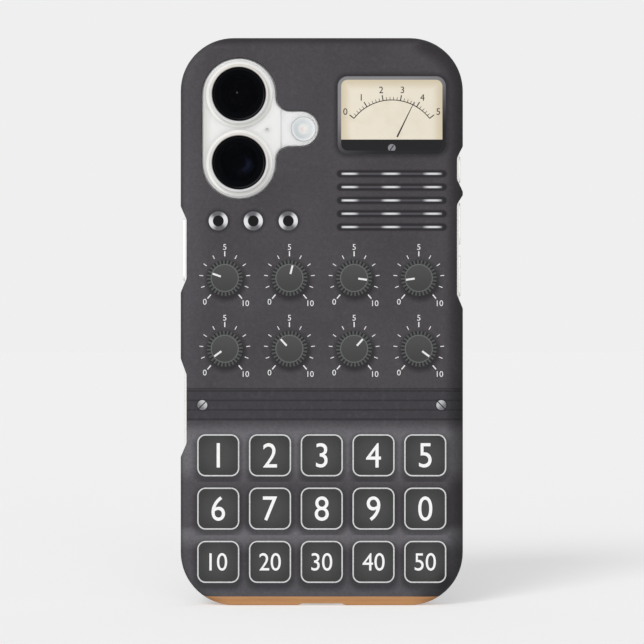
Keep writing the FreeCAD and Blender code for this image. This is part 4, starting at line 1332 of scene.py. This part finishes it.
@dataclass
class Sheet:
    """Flat shapes in the plane of the print: points (x, z) and triangles of their numbers."""

    points: np.ndarray
    triangles: np.ndarray

    @staticmethod
    def of_quads(points: np.ndarray, quads: np.ndarray) -> "Sheet":
        """A sheet whose four-sided faces are each cut into two triangles."""
        return Sheet(points.reshape(-1, 2), np.concatenate([quads[:, [0, 1, 2]], quads[:, [0, 2, 3]]]))

    @staticmethod
    def joined(sheets: Sequence["Sheet"]) -> "Sheet":
        """All the sheets as one; each one's point numbers move up by the points before it.

        Args:
            sheets: the sheets, in the order that their points take.

        Returns:
            The one sheet.
        """
        starts = np.cumsum([0] + [len(sheet.points) for sheet in sheets[:-1]])
        triangles = [sheet.triangles + start for sheet, start in zip(sheets, starts)]
        return Sheet(np.concatenate([sheet.points for sheet in sheets]), np.concatenate(triangles))

    def faced(self) -> np.ndarray:
        """The triangles, all turned the same way round, so that they face -Y.

        Returns:
            An array of three point numbers for each triangle.
        """
        a, b, c = (self.points[self.triangles[:, i]] for i in range(3))
        area = (b[:, 0] - a[:, 0]) * (c[:, 1] - a[:, 1]) - (b[:, 1] - a[:, 1]) * (c[:, 0] - a[:, 0])
        return np.where((area > 0)[:, None], self.triangles, self.triangles[:, ::-1])


def rounded_outline(half: Sequence[float], corner: float, steps: int = 12) -> np.ndarray:
    """The outline of a rounded rectangle.

    Each corner is an arc about its own middle, which lies the corner radius in from both sides, and
    straight lines join the arcs.

    Args:
        half: half of the width and height.
        corner: the corner radius.
        steps: how many points an arc has.

    Returns:
        An array of (x, z), anticlockwise from the right.
    """
    turn = np.linspace(0, math.pi / 2, steps)[None, :] + np.arange(4)[:, None] * math.pi / 2
    side = np.array([1, -1, -1, 1])[:, None] * (half[0] - corner)
    top = np.array([1, 1, -1, -1])[:, None] * (half[1] - corner)
    return np.stack([side + corner * np.cos(turn), top + corner * np.sin(turn)], axis=-1).reshape(-1, 2)


def outlines(centres: np.ndarray, outer: np.ndarray, inner: np.ndarray) -> Sheet:
    """A closed line round each centre, as the strip between two outlines.

    Args:
        centres: an array of (x, z).
        outer: the outer outline about a centre.
        inner: the inner one, with as many points.

    Returns:
        The strips as one sheet.
    """
    pair = np.stack([outer, inner])
    points = centres[:, None, None, :] + pair[None]
    faces = lattice(2, len(outer), False, True)
    starts = np.arange(len(centres))[:, None, None] * pair.shape[0] * pair.shape[1]
    return Sheet.of_quads(points, (faces[None] + starts).reshape(-1, 4))


def spokes(centres: np.ndarray, angles: np.ndarray, radii: np.ndarray, widths: np.ndarray) -> Sheet:
    """Straight marks that point away from a centre.

    A mark's corners lie at its two radii along the angle, moved half a width to each side.

    Args:
        centres: an array of (x, z), one for each mark.
        angles: each mark's angle.
        radii: each mark's inner and outer radius.
        widths: each mark's inner and outer width.

    Returns:
        The marks as one sheet.
    """
    out = np.stack([np.cos(angles), np.sin(angles)], axis=-1)
    aside = np.stack([-out[:, 1], out[:, 0]], axis=-1)
    order = [(0, -0.5), (1, -0.5), (1, 0.5), (0, 0.5)]
    corners = [centres + out * radii[:, [k]] + aside * widths[:, [k]] * s for k, s in order]
    points = np.stack(corners, axis=1)
    return Sheet.of_quads(points, np.arange(len(angles) * 4).reshape(-1, 4))


def ticks(centres: np.ndarray, angles: np.ndarray, radii: Sequence[float], widths: Sequence[float]) -> Sheet:
    """The ticks of a scale round each centre: the first one is long, and so is every fifth after it.

    Args:
        centres: an array of (x, z), one for each scale.
        angles: where the ticks are round a centre.
        radii: where all ticks start, where a short one ends and where a long one ends.
        widths: how wide a short one and a long one is.

    Returns:
        The ticks as one sheet.
    """
    scales, each = len(centres), len(angles)
    is_long = (np.arange(each) % LONG_TICK_EVERY == 0).astype(int)
    ends = np.stack([np.full(each, radii[0]), np.array(radii[1:])[is_long]], axis=1)
    wide = np.repeat(np.array(widths)[is_long][:, None], 2, axis=1)
    return spokes(np.repeat(centres, each, axis=0), np.tile(angles, scales),
                  np.tile(ends, (scales, 1)), np.tile(wide, (scales, 1)))


def arc_line(centre: Sequence[float], radius: float, width: float, start: float, sweep: float) -> Sheet:
    """A line along an arc.

    It is a strip between two rows of points, half a width inside and half a width outside the radius.

    Args:
        centre: the arc's middle, (x, z).
        radius: its radius.
        width: how wide the line is.
        start: the angle at which it starts.
        sweep: the angle that it runs through.

    Returns:
        The line's faces.
    """
    angle = np.linspace(start, start + sweep, ARC_POINTS)
    radii = np.array([radius - width / 2, radius + width / 2])[:, None]
    points = np.stack([centre[0] + radii * np.cos(angle), centre[1] + radii * np.sin(angle)], axis=-1)
    return Sheet.of_quads(points, lattice(2, len(angle)))


def numerals(text: str, centre: Sequence[float], height: float, narrow: float = 1.0) -> Sheet:
    """A plain number.

    The letters come from Blender's own font and are made a mesh before they are scaled and moved.

    Args:
        text: the digits.
        centre: where the number's middle is, (x, z).
        height: how tall a digit is.
        narrow: how much narrower than usual it is.

    Returns:
        The digits' faces.
    """
    curve = bpy.data.curves.new("digits", "FONT")
    curve.body = text
    holder = bpy.data.objects.new("digits", curve)
    mesh = bpy.data.meshes.new_from_object(holder)
    mesh.calc_loop_triangles()
    points = np.empty(len(mesh.vertices) * 3, np.float32)
    mesh.vertices.foreach_get("co", points)
    triangles = np.empty(len(mesh.loop_triangles) * 3, np.int32)
    mesh.loop_triangles.foreach_get("vertices", triangles)
    bpy.data.objects.remove(holder)
    bpy.data.curves.remove(curve)
    bpy.data.meshes.remove(mesh)
    flat = points.reshape(-1, 3)[:, :2].astype(float)
    low, high = flat.min(0), flat.max(0)
    scale = height / (high[1] - low[1])
    moved = (flat - (low + high) / 2) * scale * np.array([narrow, 1.0]) + np.array(centre)
    return Sheet(moved, triangles.reshape(-1, 3))


# --- sub-assemblies -----------------------------------------------------------------------------


def shown(name: str) -> bpy.types.Object:
    """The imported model's own piece of that name."""
    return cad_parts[name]


def box_of(name: str) -> tuple[np.ndarray, np.ndarray]:
    """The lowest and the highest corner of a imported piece's box, in millimetres."""
    low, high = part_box(name)
    return np.array(low) / MM, np.array(high) / MM


def axis_of(name: str) -> tuple[float, float]:
    """The (x, z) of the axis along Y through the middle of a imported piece."""
    middle = sum(box_of(name)) / 2
    return float(middle[0]), float(middle[2])


def dress_all(finishes: Mapping[Finish, Sequence[str]]) -> None:
    """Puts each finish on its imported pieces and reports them.

    Args:
        finishes: for each finish, the names of the pieces that take it.
    """
    for finish, names in finishes.items():
        finish.dress(*(shown(name) for name in names))
        LOG.info("%s on %s", finish.name, ", ".join(names))


def settled(piece: bpy.types.Object, body: str, slot: str, *stands_for: str) -> bpy.types.Object:
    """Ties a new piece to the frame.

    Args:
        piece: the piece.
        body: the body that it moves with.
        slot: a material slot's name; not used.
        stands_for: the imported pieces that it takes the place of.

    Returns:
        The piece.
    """
    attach(piece, body)
    if stands_for:
        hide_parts(*stands_for)
    LOG.info("%s rides on %s with %d faces", piece.name, body, len(piece.data.polygons))
    return piece


@dataclass
class PrintedCase:
    """The hard case with its print: the shaded part in the finish, the fine lines as raised ink."""

    panel: Panel = Panel()
    ink_proud: float = 0.02
    ink_thick: float = 0.03
    corner: float = 14.0
    wall: float = 0.9
    key_digit: float = 6.4
    pair_share: float = 0.72
    digit_narrow: float = 0.92
    dial_digit: float = 1.5
    meter_digit: float = 1.725

    def face(self) -> float:
        """Where the case's flat back lies."""
        return float(box_of("hard_case")[0][1])

    def inked(self, name: str, sheets: Sequence[Sheet], finish: Finish) -> None:
        """Makes one ink piece.

        Args:
            name: the piece's name.
            sheets: its flat shapes.
            finish: the ink.
        """
        sheet = Sheet.joined(sheets)
        level = np.full(len(sheet.points), self.face() - self.ink_proud)
        points = np.stack([sheet.points[:, 0], level, sheet.points[:, 1]], axis=-1)
        mesh = bpy.data.meshes.new(name)
        mesh.from_pydata((points * MM).tolist(), [], sheet.faced().tolist())
        piece = placed(name, mesh)
        solid = piece.modifiers.new("film", "SOLIDIFY")
        solid.thickness = self.ink_thick * MM
        finish.dress(piece)
        settled(piece, "case", "case_plastic")

    def key_lines(self) -> Sheet:
        """The bright line round each key.

        Returns:
            The lines as one sheet.
        """
        panel = self.panel
        outer, inner = (
            rounded_outline([side + grown for side in panel.key_half], panel.key_corner + grown)
            for grown in (panel.key_line / 2, -panel.key_line / 2))
        return outlines(panel.keys.middles(), outer, inner)

    def key_numbers(self) -> list[Sheet]:
        """The number on each key; two digits are set smaller.

        Returns:
            A sheet for each number.
        """
        panel = self.panel
        heights = {1: self.key_digit, 2: self.key_digit * self.pair_share}
        return [numerals(text, place, heights[len(text)], self.digit_narrow)
                for text, place in zip(panel.key_labels, panel.keys.middles())]

    def dial_marks(self) -> list[Sheet]:
        """The ticks round each dial, the pointers on the knobs and the numbers at the ticks' ends.

        Returns:
            The ticks, the pointers and each number, as sheets.
        """
        panel = self.panel
        dials = panel.dials.middles()
        start = math.pi / 2 + panel.tick_sweep / 2
        angles = start - np.linspace(0, panel.tick_sweep, panel.tick_count)
        count, gaps = len(dials), panel.tick_count - 1
        aim = start - (np.arange(count) * 3 % gaps + 0.5) * panel.tick_sweep / gaps
        ends, widths = np.tile(panel.pointer_ends, (count, 1)), np.full((count, 2), panel.pointer_width)
        made = [ticks(dials, angles, panel.tick_radii, panel.tick_widths), spokes(dials, aim, ends, widths)]
        for dial in dials:
            for text, angle in zip(("0", "5", "10"), angles[::LONG_TICK_EVERY]):
                out = panel.tick_digits + self.dial_digit / 3 * len(text)
                spot = dial + out * np.array([math.cos(angle), math.sin(angle)])
                made.append(numerals(text, spot, self.dial_digit))
        return made

    def meter_marks(self) -> list[Sheet]:
        """The meter's arc, ticks, numbers and needle.

        Returns:
            The arc, the ticks, each number and the needle, as sheets.
        """
        panel = self.panel
        pivot = np.array([panel.pivot])
        start = math.pi / 2 - panel.scale_sweep / 2
        angles = np.linspace(start, start + panel.scale_sweep, panel.scale_count)
        made = [arc_line(panel.pivot, panel.scale_radii[0], panel.scale_line, start, panel.scale_sweep),
                ticks(pivot, angles, panel.scale_radii, panel.scale_widths)]
        for number, angle in enumerate(angles[::-LONG_TICK_EVERY]):
            spot = pivot[0] + panel.scale_digits * np.array([math.cos(angle), math.sin(angle)])
            made.append(numerals(str(number), spot, self.meter_digit))
        made.append(spokes(pivot, np.array([panel.needle_angle]), np.array([panel.needle_ends]),
                           np.array([panel.needle_widths])))
        return made

    def build(self) -> None:
        """Prints the case."""
        low, high = box_of("hard_case")
        half = (float(high[0] - low[0]) / 2, float(high[2] - low[2]) / 2)
        shell = PrintedShell("printed_shell", self.panel, self.face(), half, self.corner, self.wall)
        shell.dress(shown("hard_case"))
        self.inked("printed_key_lines", [self.key_lines()], Ink("silver_ink", "dededf", "a9a9ab"))
        self.inked("printed_numbers", self.key_numbers(), Ink("white_ink", "ffffff", "efefef"))
        self.inked("printed_dial_marks", self.dial_marks(), Ink("pale_ink", "f1f1f1", "cfcfcf"))
        self.inked("printed_meter_marks", self.meter_marks(), Ink("black_ink", "1a1919", "2c2a29"))


@dataclass
class RearCamera:
    """One rear camera: ring, cover, ribbed barrel and front lens."""

    name: str
    pupil: float
    # Painted reflection on the cover glass: where it lies beside the axis, its radius, its hollow and its
    # colour.
    gleam: tuple[float, float]
    gleam_radius: float
    gleam_hollow: float
    gleam_colour: str
    barrel_radius: float = 4.7
    bore: float = 4.2
    front: float = -4.25
    shoulder: float = -3.35
    bottom: float = 1.1
    lip: float = 0.45
    rib_pitch: float = 0.3
    rib_depth: float = 0.09
    land: float = 0.2
    edge_cut: float = 0.05
    clearance: float = 0.05
    clear_radius: float = 4.9
    bulge: float = 0.25
    lens_thick: float = 0.6
    lens_points: int = 20
    ring_outer: float = 7.78
    bead_width: float = 0.9
    bead_height: float = 0.3
    seal_points: int = 14
    plateau_top: float = -4.1

    def seal(self) -> bpy.types.Object:
        """The pale bead between the ring and the glass.

        Its face is hollow: its height falls by a parabola from the ring's side to nothing at the
        bead's foot on the glass.

        Returns:
            The bead.
        """
        share = np.linspace(0, 1, self.seal_points)
        height = self.bead_height * (1 - share) ** 2
        hollow = np.stack([self.ring_outer + self.bead_width * share, self.plateau_top - height], axis=1)
        base = np.array([(self.ring_outer, self.plateau_top)])
        return turned(f"{self.name}_ring_seal", self.axis(), np.concatenate([hollow, base]), True)

    def axis(self) -> tuple[float, float]:
        """The lens's axis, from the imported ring."""
        return axis_of(f"{self.name}_lens_ring")

    def barrel(self) -> bpy.types.Object:
        """The barrel, whose front is ribbed: its height follows a raised cosine of the radius.

        Returns:
            The barrel.
        """
        inner = self.pupil + self.lip
        ribbed = self.barrel_radius - self.land
        ribs = max(2, round((ribbed - inner) / self.rib_pitch))
        radius = np.linspace(inner, ribbed, ribs * POINTS_PER_WAVE + 1)
        phase = np.linspace(0, ribs * FULL_TURN, len(radius))
        face = np.stack([radius, self.front + self.rib_depth * (0.5 - 0.5 * np.cos(phase))], axis=1)
        before = np.array([(self.pupil, self.shoulder), (self.pupil, self.front + self.lip)])
        after = np.array([(self.barrel_radius - self.edge_cut, self.front),
                          (self.barrel_radius, self.front + self.edge_cut),
                          (self.barrel_radius, self.bottom), (self.bore, self.bottom),
                          (self.bore, self.shoulder)])
        return turned(f"{self.name}_ribbed_barrel", self.axis(), np.concatenate([before, face, after]), True)

    def lens(self) -> bpy.types.Object:
        """The front lens: both faces bulge by a parabola of the radius.

        Returns:
            The lens.
        """
        reach = self.pupil - self.clearance
        out = np.linspace(0, reach, self.lens_points)
        front = np.stack([out, self.shoulder - self.bulge * (1 - (out / reach) ** 2)], axis=1)
        back_out = np.linspace(self.bore, 0, self.lens_points)
        back_level = self.shoulder + self.lens_thick
        back = np.stack([back_out, back_level + self.bulge * (1 - (back_out / self.bore) ** 2)], axis=1)
        rim = np.array([(self.bore, self.shoulder)])
        return turned(f"{self.name}_curved_lens", self.axis(), np.concatenate([front, rim, back]), False)

    def build(self) -> None:
        """Makes and dresses the camera."""
        axis, body = self.axis(), f"{self.name}_lens"
        barrel, lens = self.barrel(), self.lens()
        black = Worked("barrel_black", "060607", "0b0b0d", 0.8, Grain.BLASTED, 0.1, 0.004, specular=0.01)
        black.dress(barrel)
        settled(barrel, body, "lens_barrel", f"{self.name}_lens_barrel")
        LensCoating(f"{self.name}_coating", axis, self.pupil).dress(lens)
        settled(lens, body, "lens_element", f"{self.name}_front_lens")
        # The cover glass carries the painted reflection.
        cover = OpticGlass(f"{self.name}_cover_glass", axis, self.clear_radius, self.gleam,
                           self.gleam_radius, self.gleam_hollow, self.gleam_colour)
        cover.dress(shown(f"{self.name}_lens_cover"))
        LensRing(f"{self.name}_turned_ring", axis).dress(shown(f"{self.name}_lens_ring"))
        seal = self.seal()
        RingSeal(f"{self.name}_pale_seal", axis).dress(seal)
        settled(seal, "phone", "strip")
        LOG.info("%s camera dressed", self.name)


@dataclass
class Flash:
    """The flash: a moulded lens with real rings, its holder and lamps."""

    dome_share: float = 0.24
    dome_sunk: float = 0.03
    dome_depth: float = 0.08
    rings: int = 7
    ring_points: int = 4
    ring_sunk: float = 0.02
    ring_depth: float = 0.09
    slope_share: float = 0.94
    land: float = 0.3
    land_gap: float = 0.05
    edge_round: float = 0.12
    hole_radius: float = 0.4
    gauze_sunk: float = 0.12
    gauze_dip: float = 0.08
    gauze_thick: float = 0.25
    curve_points: int = 10
    edge_points: int = 6
    lens_steps: int = 96
    gauze_steps: int = 48

    def lens(self) -> bpy.types.Object:
        """The lens: a low dome, then rings that rise slowly and fall at once, as on a stepped lens.

        The dome falls by a parabola of the radius, each ring slopes back in a straight line over most
        of its pitch, and the rim is a quarter of a circle.

        Returns:
            The lens, dressed and tied to the frame.
        """
        axis = axis_of("flash_lens")
        low, high = box_of("flash_lens")
        radius, top, back = float(high[0] - low[0]) / 2, low[1], high[1]
        dome_reach = radius * self.dome_share
        out = np.linspace(0, dome_reach, self.curve_points)
        dome = np.stack([out, top + self.dome_sunk + self.dome_depth * (out / dome_reach) ** 2], axis=1)
        pitch = (radius - self.edge_round - self.land - self.land_gap - dome_reach) / self.rings
        step = np.arange(self.rings * self.ring_points)
        share = (step % self.ring_points) / (self.ring_points - 1)
        inset = (1 - self.slope_share) / 2
        place = dome_reach + pitch * (step // self.ring_points + share * self.slope_share + inset)
        rings = np.stack([place, top + self.ring_sunk + self.ring_depth * share], axis=1)
        turn = np.linspace(0, math.pi / 2, self.edge_points)
        centre = radius - self.edge_round
        edge = np.stack([centre + self.edge_round * np.sin(turn),
                         top + self.edge_round * (1 - np.cos(turn))], axis=1)
        land = np.array([(centre - self.land, top)])
        base = np.array([(radius, back), (0.0, back)])
        profile = np.concatenate([dome, rings, land, edge, base])
        piece = turned("stepped_flash_lens", axis, profile, False, self.lens_steps)
        FlashGlass("flash_glass", axis, radius).dress(piece)
        return settled(piece, "phone", "flash_lens", "flash_lens")

    def gauze(self) -> bpy.types.Object:
        """Pale gauze near the mouth of the microphone's hole.

        It is a dish that fills the hole: its front sinks by a parabola of the radius, and its back is
        flat.

        Returns:
            The gauze, dressed and tied to the frame.
        """
        mouth = float(box_of("back_glass")[0][1]) + self.gauze_sunk
        out = np.linspace(0, self.hole_radius, self.curve_points)
        dish = np.stack([out, mouth + self.gauze_dip * (1 - (out / self.hole_radius) ** 2)], axis=1)
        back = mouth + self.gauze_thick
        profile = np.concatenate([dish, np.array([(self.hole_radius, back), (0.0, back)])])
        axis = axis_of("rear_microphone_mesh")
        piece = turned("microphone_gauze", axis, profile, False, self.gauze_steps)
        Worked("pale_gauze", "e0e0de", "a9a9a8", 0.6, Grain.WOVEN, 0.14, 0.03).dress(piece)
        return settled(piece, "phone", "dark_mesh")

    def build(self) -> None:
        """Makes the lens and dresses the holder and the microphone beside it."""
        self.lens()
        self.gauze()
        dress_all({
            Worked("holder_white", "e3dcc4", "d9c98f", 0.4, size=0.4): ("flash_holder",),
            Worked("microphone_mesh", "9a9a99", "5f5f5e", 0.5, Grain.WOVEN, 0.16, 0.03, metallic=0.6): (
                "rear_microphone_mesh",),
            Worked("microphone_can", "b9b8b2", "a5a49e", 0.35, metallic=0.9): ("rear_microphone",),
        })


@dataclass
class Body:
    """The metal frame, the two glasses, their seals and the buttons."""

    colour: str = "fbfaf8"
    tone: str = "f3f2ef"

    def build(self) -> None:
        """Dresses the body."""
        frame_metal = Worked("blasted_aluminium", self.colour, self.tone, 0.58, Grain.BLASTED, 0.12, 0.004,
                             metallic=0.85)
        button_metal = replace(frame_metal, name="button_aluminium", colour="f5f4f2", tone="edece9")
        dress_all({
            frame_metal: ("side_frame",),
            button_metal: ("action_button", "volume_up_button", "volume_down_button", "power_button"),
            Worked("band_plastic_white", "e2e2df", "d9d9d6", 0.5, size=0.2): ("antenna_bands",),
            BackGlass("white_back_glass"): ("back_glass",),
            DisplayGlass("black_front_glass"): ("display_glass",),
            PixelGrid("panel_pixels"): ("display_panel",),
            Worked("touch_glass", "efeeeb", "e6e5e2", 0.12, size=0.5, depth=0.001, coat=0.6): (
                "camera_control",),
            Worked("seal_foam", "1c1c1d", "28282a", 0.8, Grain.PEBBLED, 0.2, 0.03): (
                "back_glass_tape", "display_tape"),
            Worked("earpiece_weave", "2d2d2e", "5a5a5b", 0.5, Grain.WOVEN, 0.16, 0.03, metallic=0.6): (
                "earpiece_mesh", "sound_meshes"),
        })


@dataclass
class Workings:
    """Everything inside: circuit board, power, sound, motor, sockets and camera bodies."""

    coil_turns: int = 18
    coil_wire: float = 0.16
    coil_hole: float = 11.0
    coil_steps: int = 160

    def coil(self) -> bpy.types.Object:
        """The charging coil: each turn's back is a half-round ridge, a raised cosine of the radius.

        Returns:
            The coil, dressed and tied to the frame.
        """
        axis = axis_of("charging_coil")
        low, high = box_of("charging_coil")
        outer, inner = float(high[0] - low[0]) / 2, self.coil_hole
        radius = np.linspace(inner, outer, self.coil_turns * POINTS_PER_WAVE + 1)
        phase = np.linspace(0, self.coil_turns * FULL_TURN, len(radius))
        front = np.stack([radius, low[1] + self.coil_wire * (0.5 + 0.5 * np.cos(phase))], axis=1)
        back = np.array([(outer, high[1]), (inner, high[1])])
        piece = turned("wound_coil", axis, np.concatenate([front, back]), True, self.coil_steps)
        Wound("lacquered_copper", axis, (outer - inner) / self.coil_turns).dress(piece)
        return settled(piece, "phone", "copper", "charging_coil")

    def build(self) -> None:
        """Makes the coil and dresses the other pieces."""
        self.coil()
        dress_all({
            Worked("stamped_steel", "b5b5b3", "9b9b9a", 0.32, Grain.DRAWN, 0.3, 0.01, metallic=0.95): (
                "main_camera_base", "wide_camera_base", "sensor_carrier", "camera_cage", "button_switches",
                "port_shell", "bottom_screws", "bottom_microphone", "motor_tray", "motor_lid",
                "motor_springs", "board_screws", "board_shields"),
            Worked("camera_black", "17171a", "222226", 0.4, Grain.BLASTED, 0.2, 0.006, metallic=0.3): (
                "main_camera_can", "wide_camera_can", "front_camera", "depth_sensors"),
            Worked("sensor_silicon", "1d2a2c", "33293f", 0.15, size=0.6, cloud=5.0, coat=0.6): (
                "main_image_sensor", "wide_image_sensor"),
            Worked("moulded_black", "19191b", "232325", 0.5, Grain.PEBBLED, 0.35, 0.02): (
                "loudspeaker", "board_connectors", "earpiece_speaker"),
            Worked("cone_rubber_black", "121213", "1b1b1c", 0.7, size=0.3): ("speaker_cone",),
            Worked("sintered_tungsten", "4b4b4e", "5d5d60", 0.5, Grain.BLASTED, 0.3, 0.02, metallic=0.9): (
                "motor_weight",),
            Worked("amber_flex", "a2621b", "7f4a14", 0.35, Grain.DRAWN, 0.4, 0.005, coat=0.4): (
                "button_cables",),
            Worked("shield_foil", "2a2a2d", "3b3b3f", 0.4, Grain.BLASTED, 0.3, 0.01, metallic=0.6): (
                "coil_shield",),
            Worked("nickel_plate", "c3c2bd", "adaca7", 0.22, Grain.BLASTED, 0.3, 0.004, metallic=1.0): (
                "magnet_ring",),
            Worked("foil_pouch", "1d1d20", "303034", 0.38, Grain.BLASTED, 2.2, 0.05, metallic=0.4): (
                "battery",),
            Worked("release_strip", "d9d8d2", "cfcdc4", 0.6, Grain.DRAWN, 0.5, 0.01): ("battery_strips",),
            CircuitBoard("lacquered_board"): ("main_board", "port_board"),
            Contacts("gilded_contacts"): ("port_tongue",),
        })


@dataclass
class Studio:
    """A pale floor that runs into a pale background, soft light from the upper left, and the camera."""

    distance: float = 700.0
    eye_aside: float = 0.06
    eye_level: float = 74.64
    frame_width: float = 169.83
    silhouette: float = 2.4
    seen: str = "efefef"
    ambient: float = 0.3
    key: float = 0.9
    key_angle: float = math.radians(20)
    key_from: tuple[float, float, float] = (-0.38, -0.75, 0.65)
    front: float = 1.4
    front_angle: float = math.radians(60)
    front_from: tuple[float, float, float] = (-0.15, -1.0, 0.35)
    far_clip: float = 100000.0
    floor_reach: float = 6000.0
    floor_paper: str = "e0e0e0"
    floor_lift: float = 0.405

    def world(self) -> None:
        """Light that is even all round, and a background that is seen, reflected and shows through."""
        world = bpy.data.worlds.new("studio")
        world.use_nodes = True
        bpy.context.scene.world = world
        graph = Graph(world.node_tree)
        soft = graph.node("ShaderNodeBackground", {}, {0: linear("ffffff"), 1: self.ambient}).outputs[0]
        plain = graph.node("ShaderNodeBackground", {}, {0: linear(self.seen), 1: 1.0}).outputs[0]
        graph.close(graph.either(seen_share(graph), soft, plain), "ShaderNodeOutputWorld")

    def floor(self) -> None:
        """A wide flat floor that keeps its shadows, lifted a little where it is seen."""
        edge = np.array([-self.floor_reach, self.floor_reach])
        x, y = np.meshgrid(edge, edge)
        points = np.stack([x, y, np.zeros_like(x)], axis=-1).reshape(-1, 3)
        piece = piece_from("studio_floor", points, lattice(2, 2))
        StudioPaper("studio_paper", self.floor_paper, self.floor_lift).dress(piece)

    def lamp(self, name: str, source: Sequence[float], strength: float, angle: float) -> None:
        """Adds a distant lamp.

        Args:
            name: its name.
            source: the direction that its light comes from.
            strength: its light on a surface that faces it.
            angle: how wide it looks, which softens its shadows.
        """
        data = bpy.data.lights.new(name, "SUN")
        data.energy, data.angle = strength, angle
        placed(name, data).rotation_euler = (-Vector(source)).to_track_quat("-Z", "Y").to_euler()

    def camera(self) -> None:
        """A long lens, level with the phone's middle and square to its back."""
        data = bpy.data.cameras.new("camera")
        data.lens = data.sensor_width * self.distance / self.frame_width
        data.clip_end = self.far_clip * MM
        holder = placed("camera", data)
        outline = float(box_of("hard_case")[0][1]) + self.silhouette
        holder.location = (self.eye_aside * MM, (outline - self.distance) * MM, self.eye_level * MM)
        holder.rotation_euler = (math.pi / 2, 0, 0)
        bpy.context.scene.camera = holder

    def build(self) -> None:
        """Sets up the studio."""
        bpy.context.scene.view_settings.view_transform = "Standard"
        self.camera()
        self.world()
        self.floor()
        self.lamp("key", self.key_from, self.key, self.key_angle)
        self.lamp("front", self.front_from, self.front, self.front_angle)


def main() -> None:
    """Builds every sub-assembly in order."""
    logging.basicConfig(level=logging.INFO, format="%(name)s: %(message)s")
    # Each cover carries a painted reflection: a small grey dot on the main camera, a hollowed bluish patch on
    # the wide one.
    main_camera = RearCamera("main", pupil=2.7, gleam=(-0.5, 0.4), gleam_radius=0.32,
                             gleam_hollow=0.0, gleam_colour="6c6d71")
    wide_camera = RearCamera("wide", pupil=1.9, gleam=(1.6, -0.7), gleam_radius=2.7,
                             gleam_hollow=2.3, gleam_colour="181d2c")
    assemblies = (Studio(), PrintedCase(), main_camera, wide_camera, Flash(), Body(), Workings())
    for assembly in assemblies:
        assembly.build()
        LOG.info("%s is ready", type(assembly).__name__)


if __name__ == "__main__":
    main()
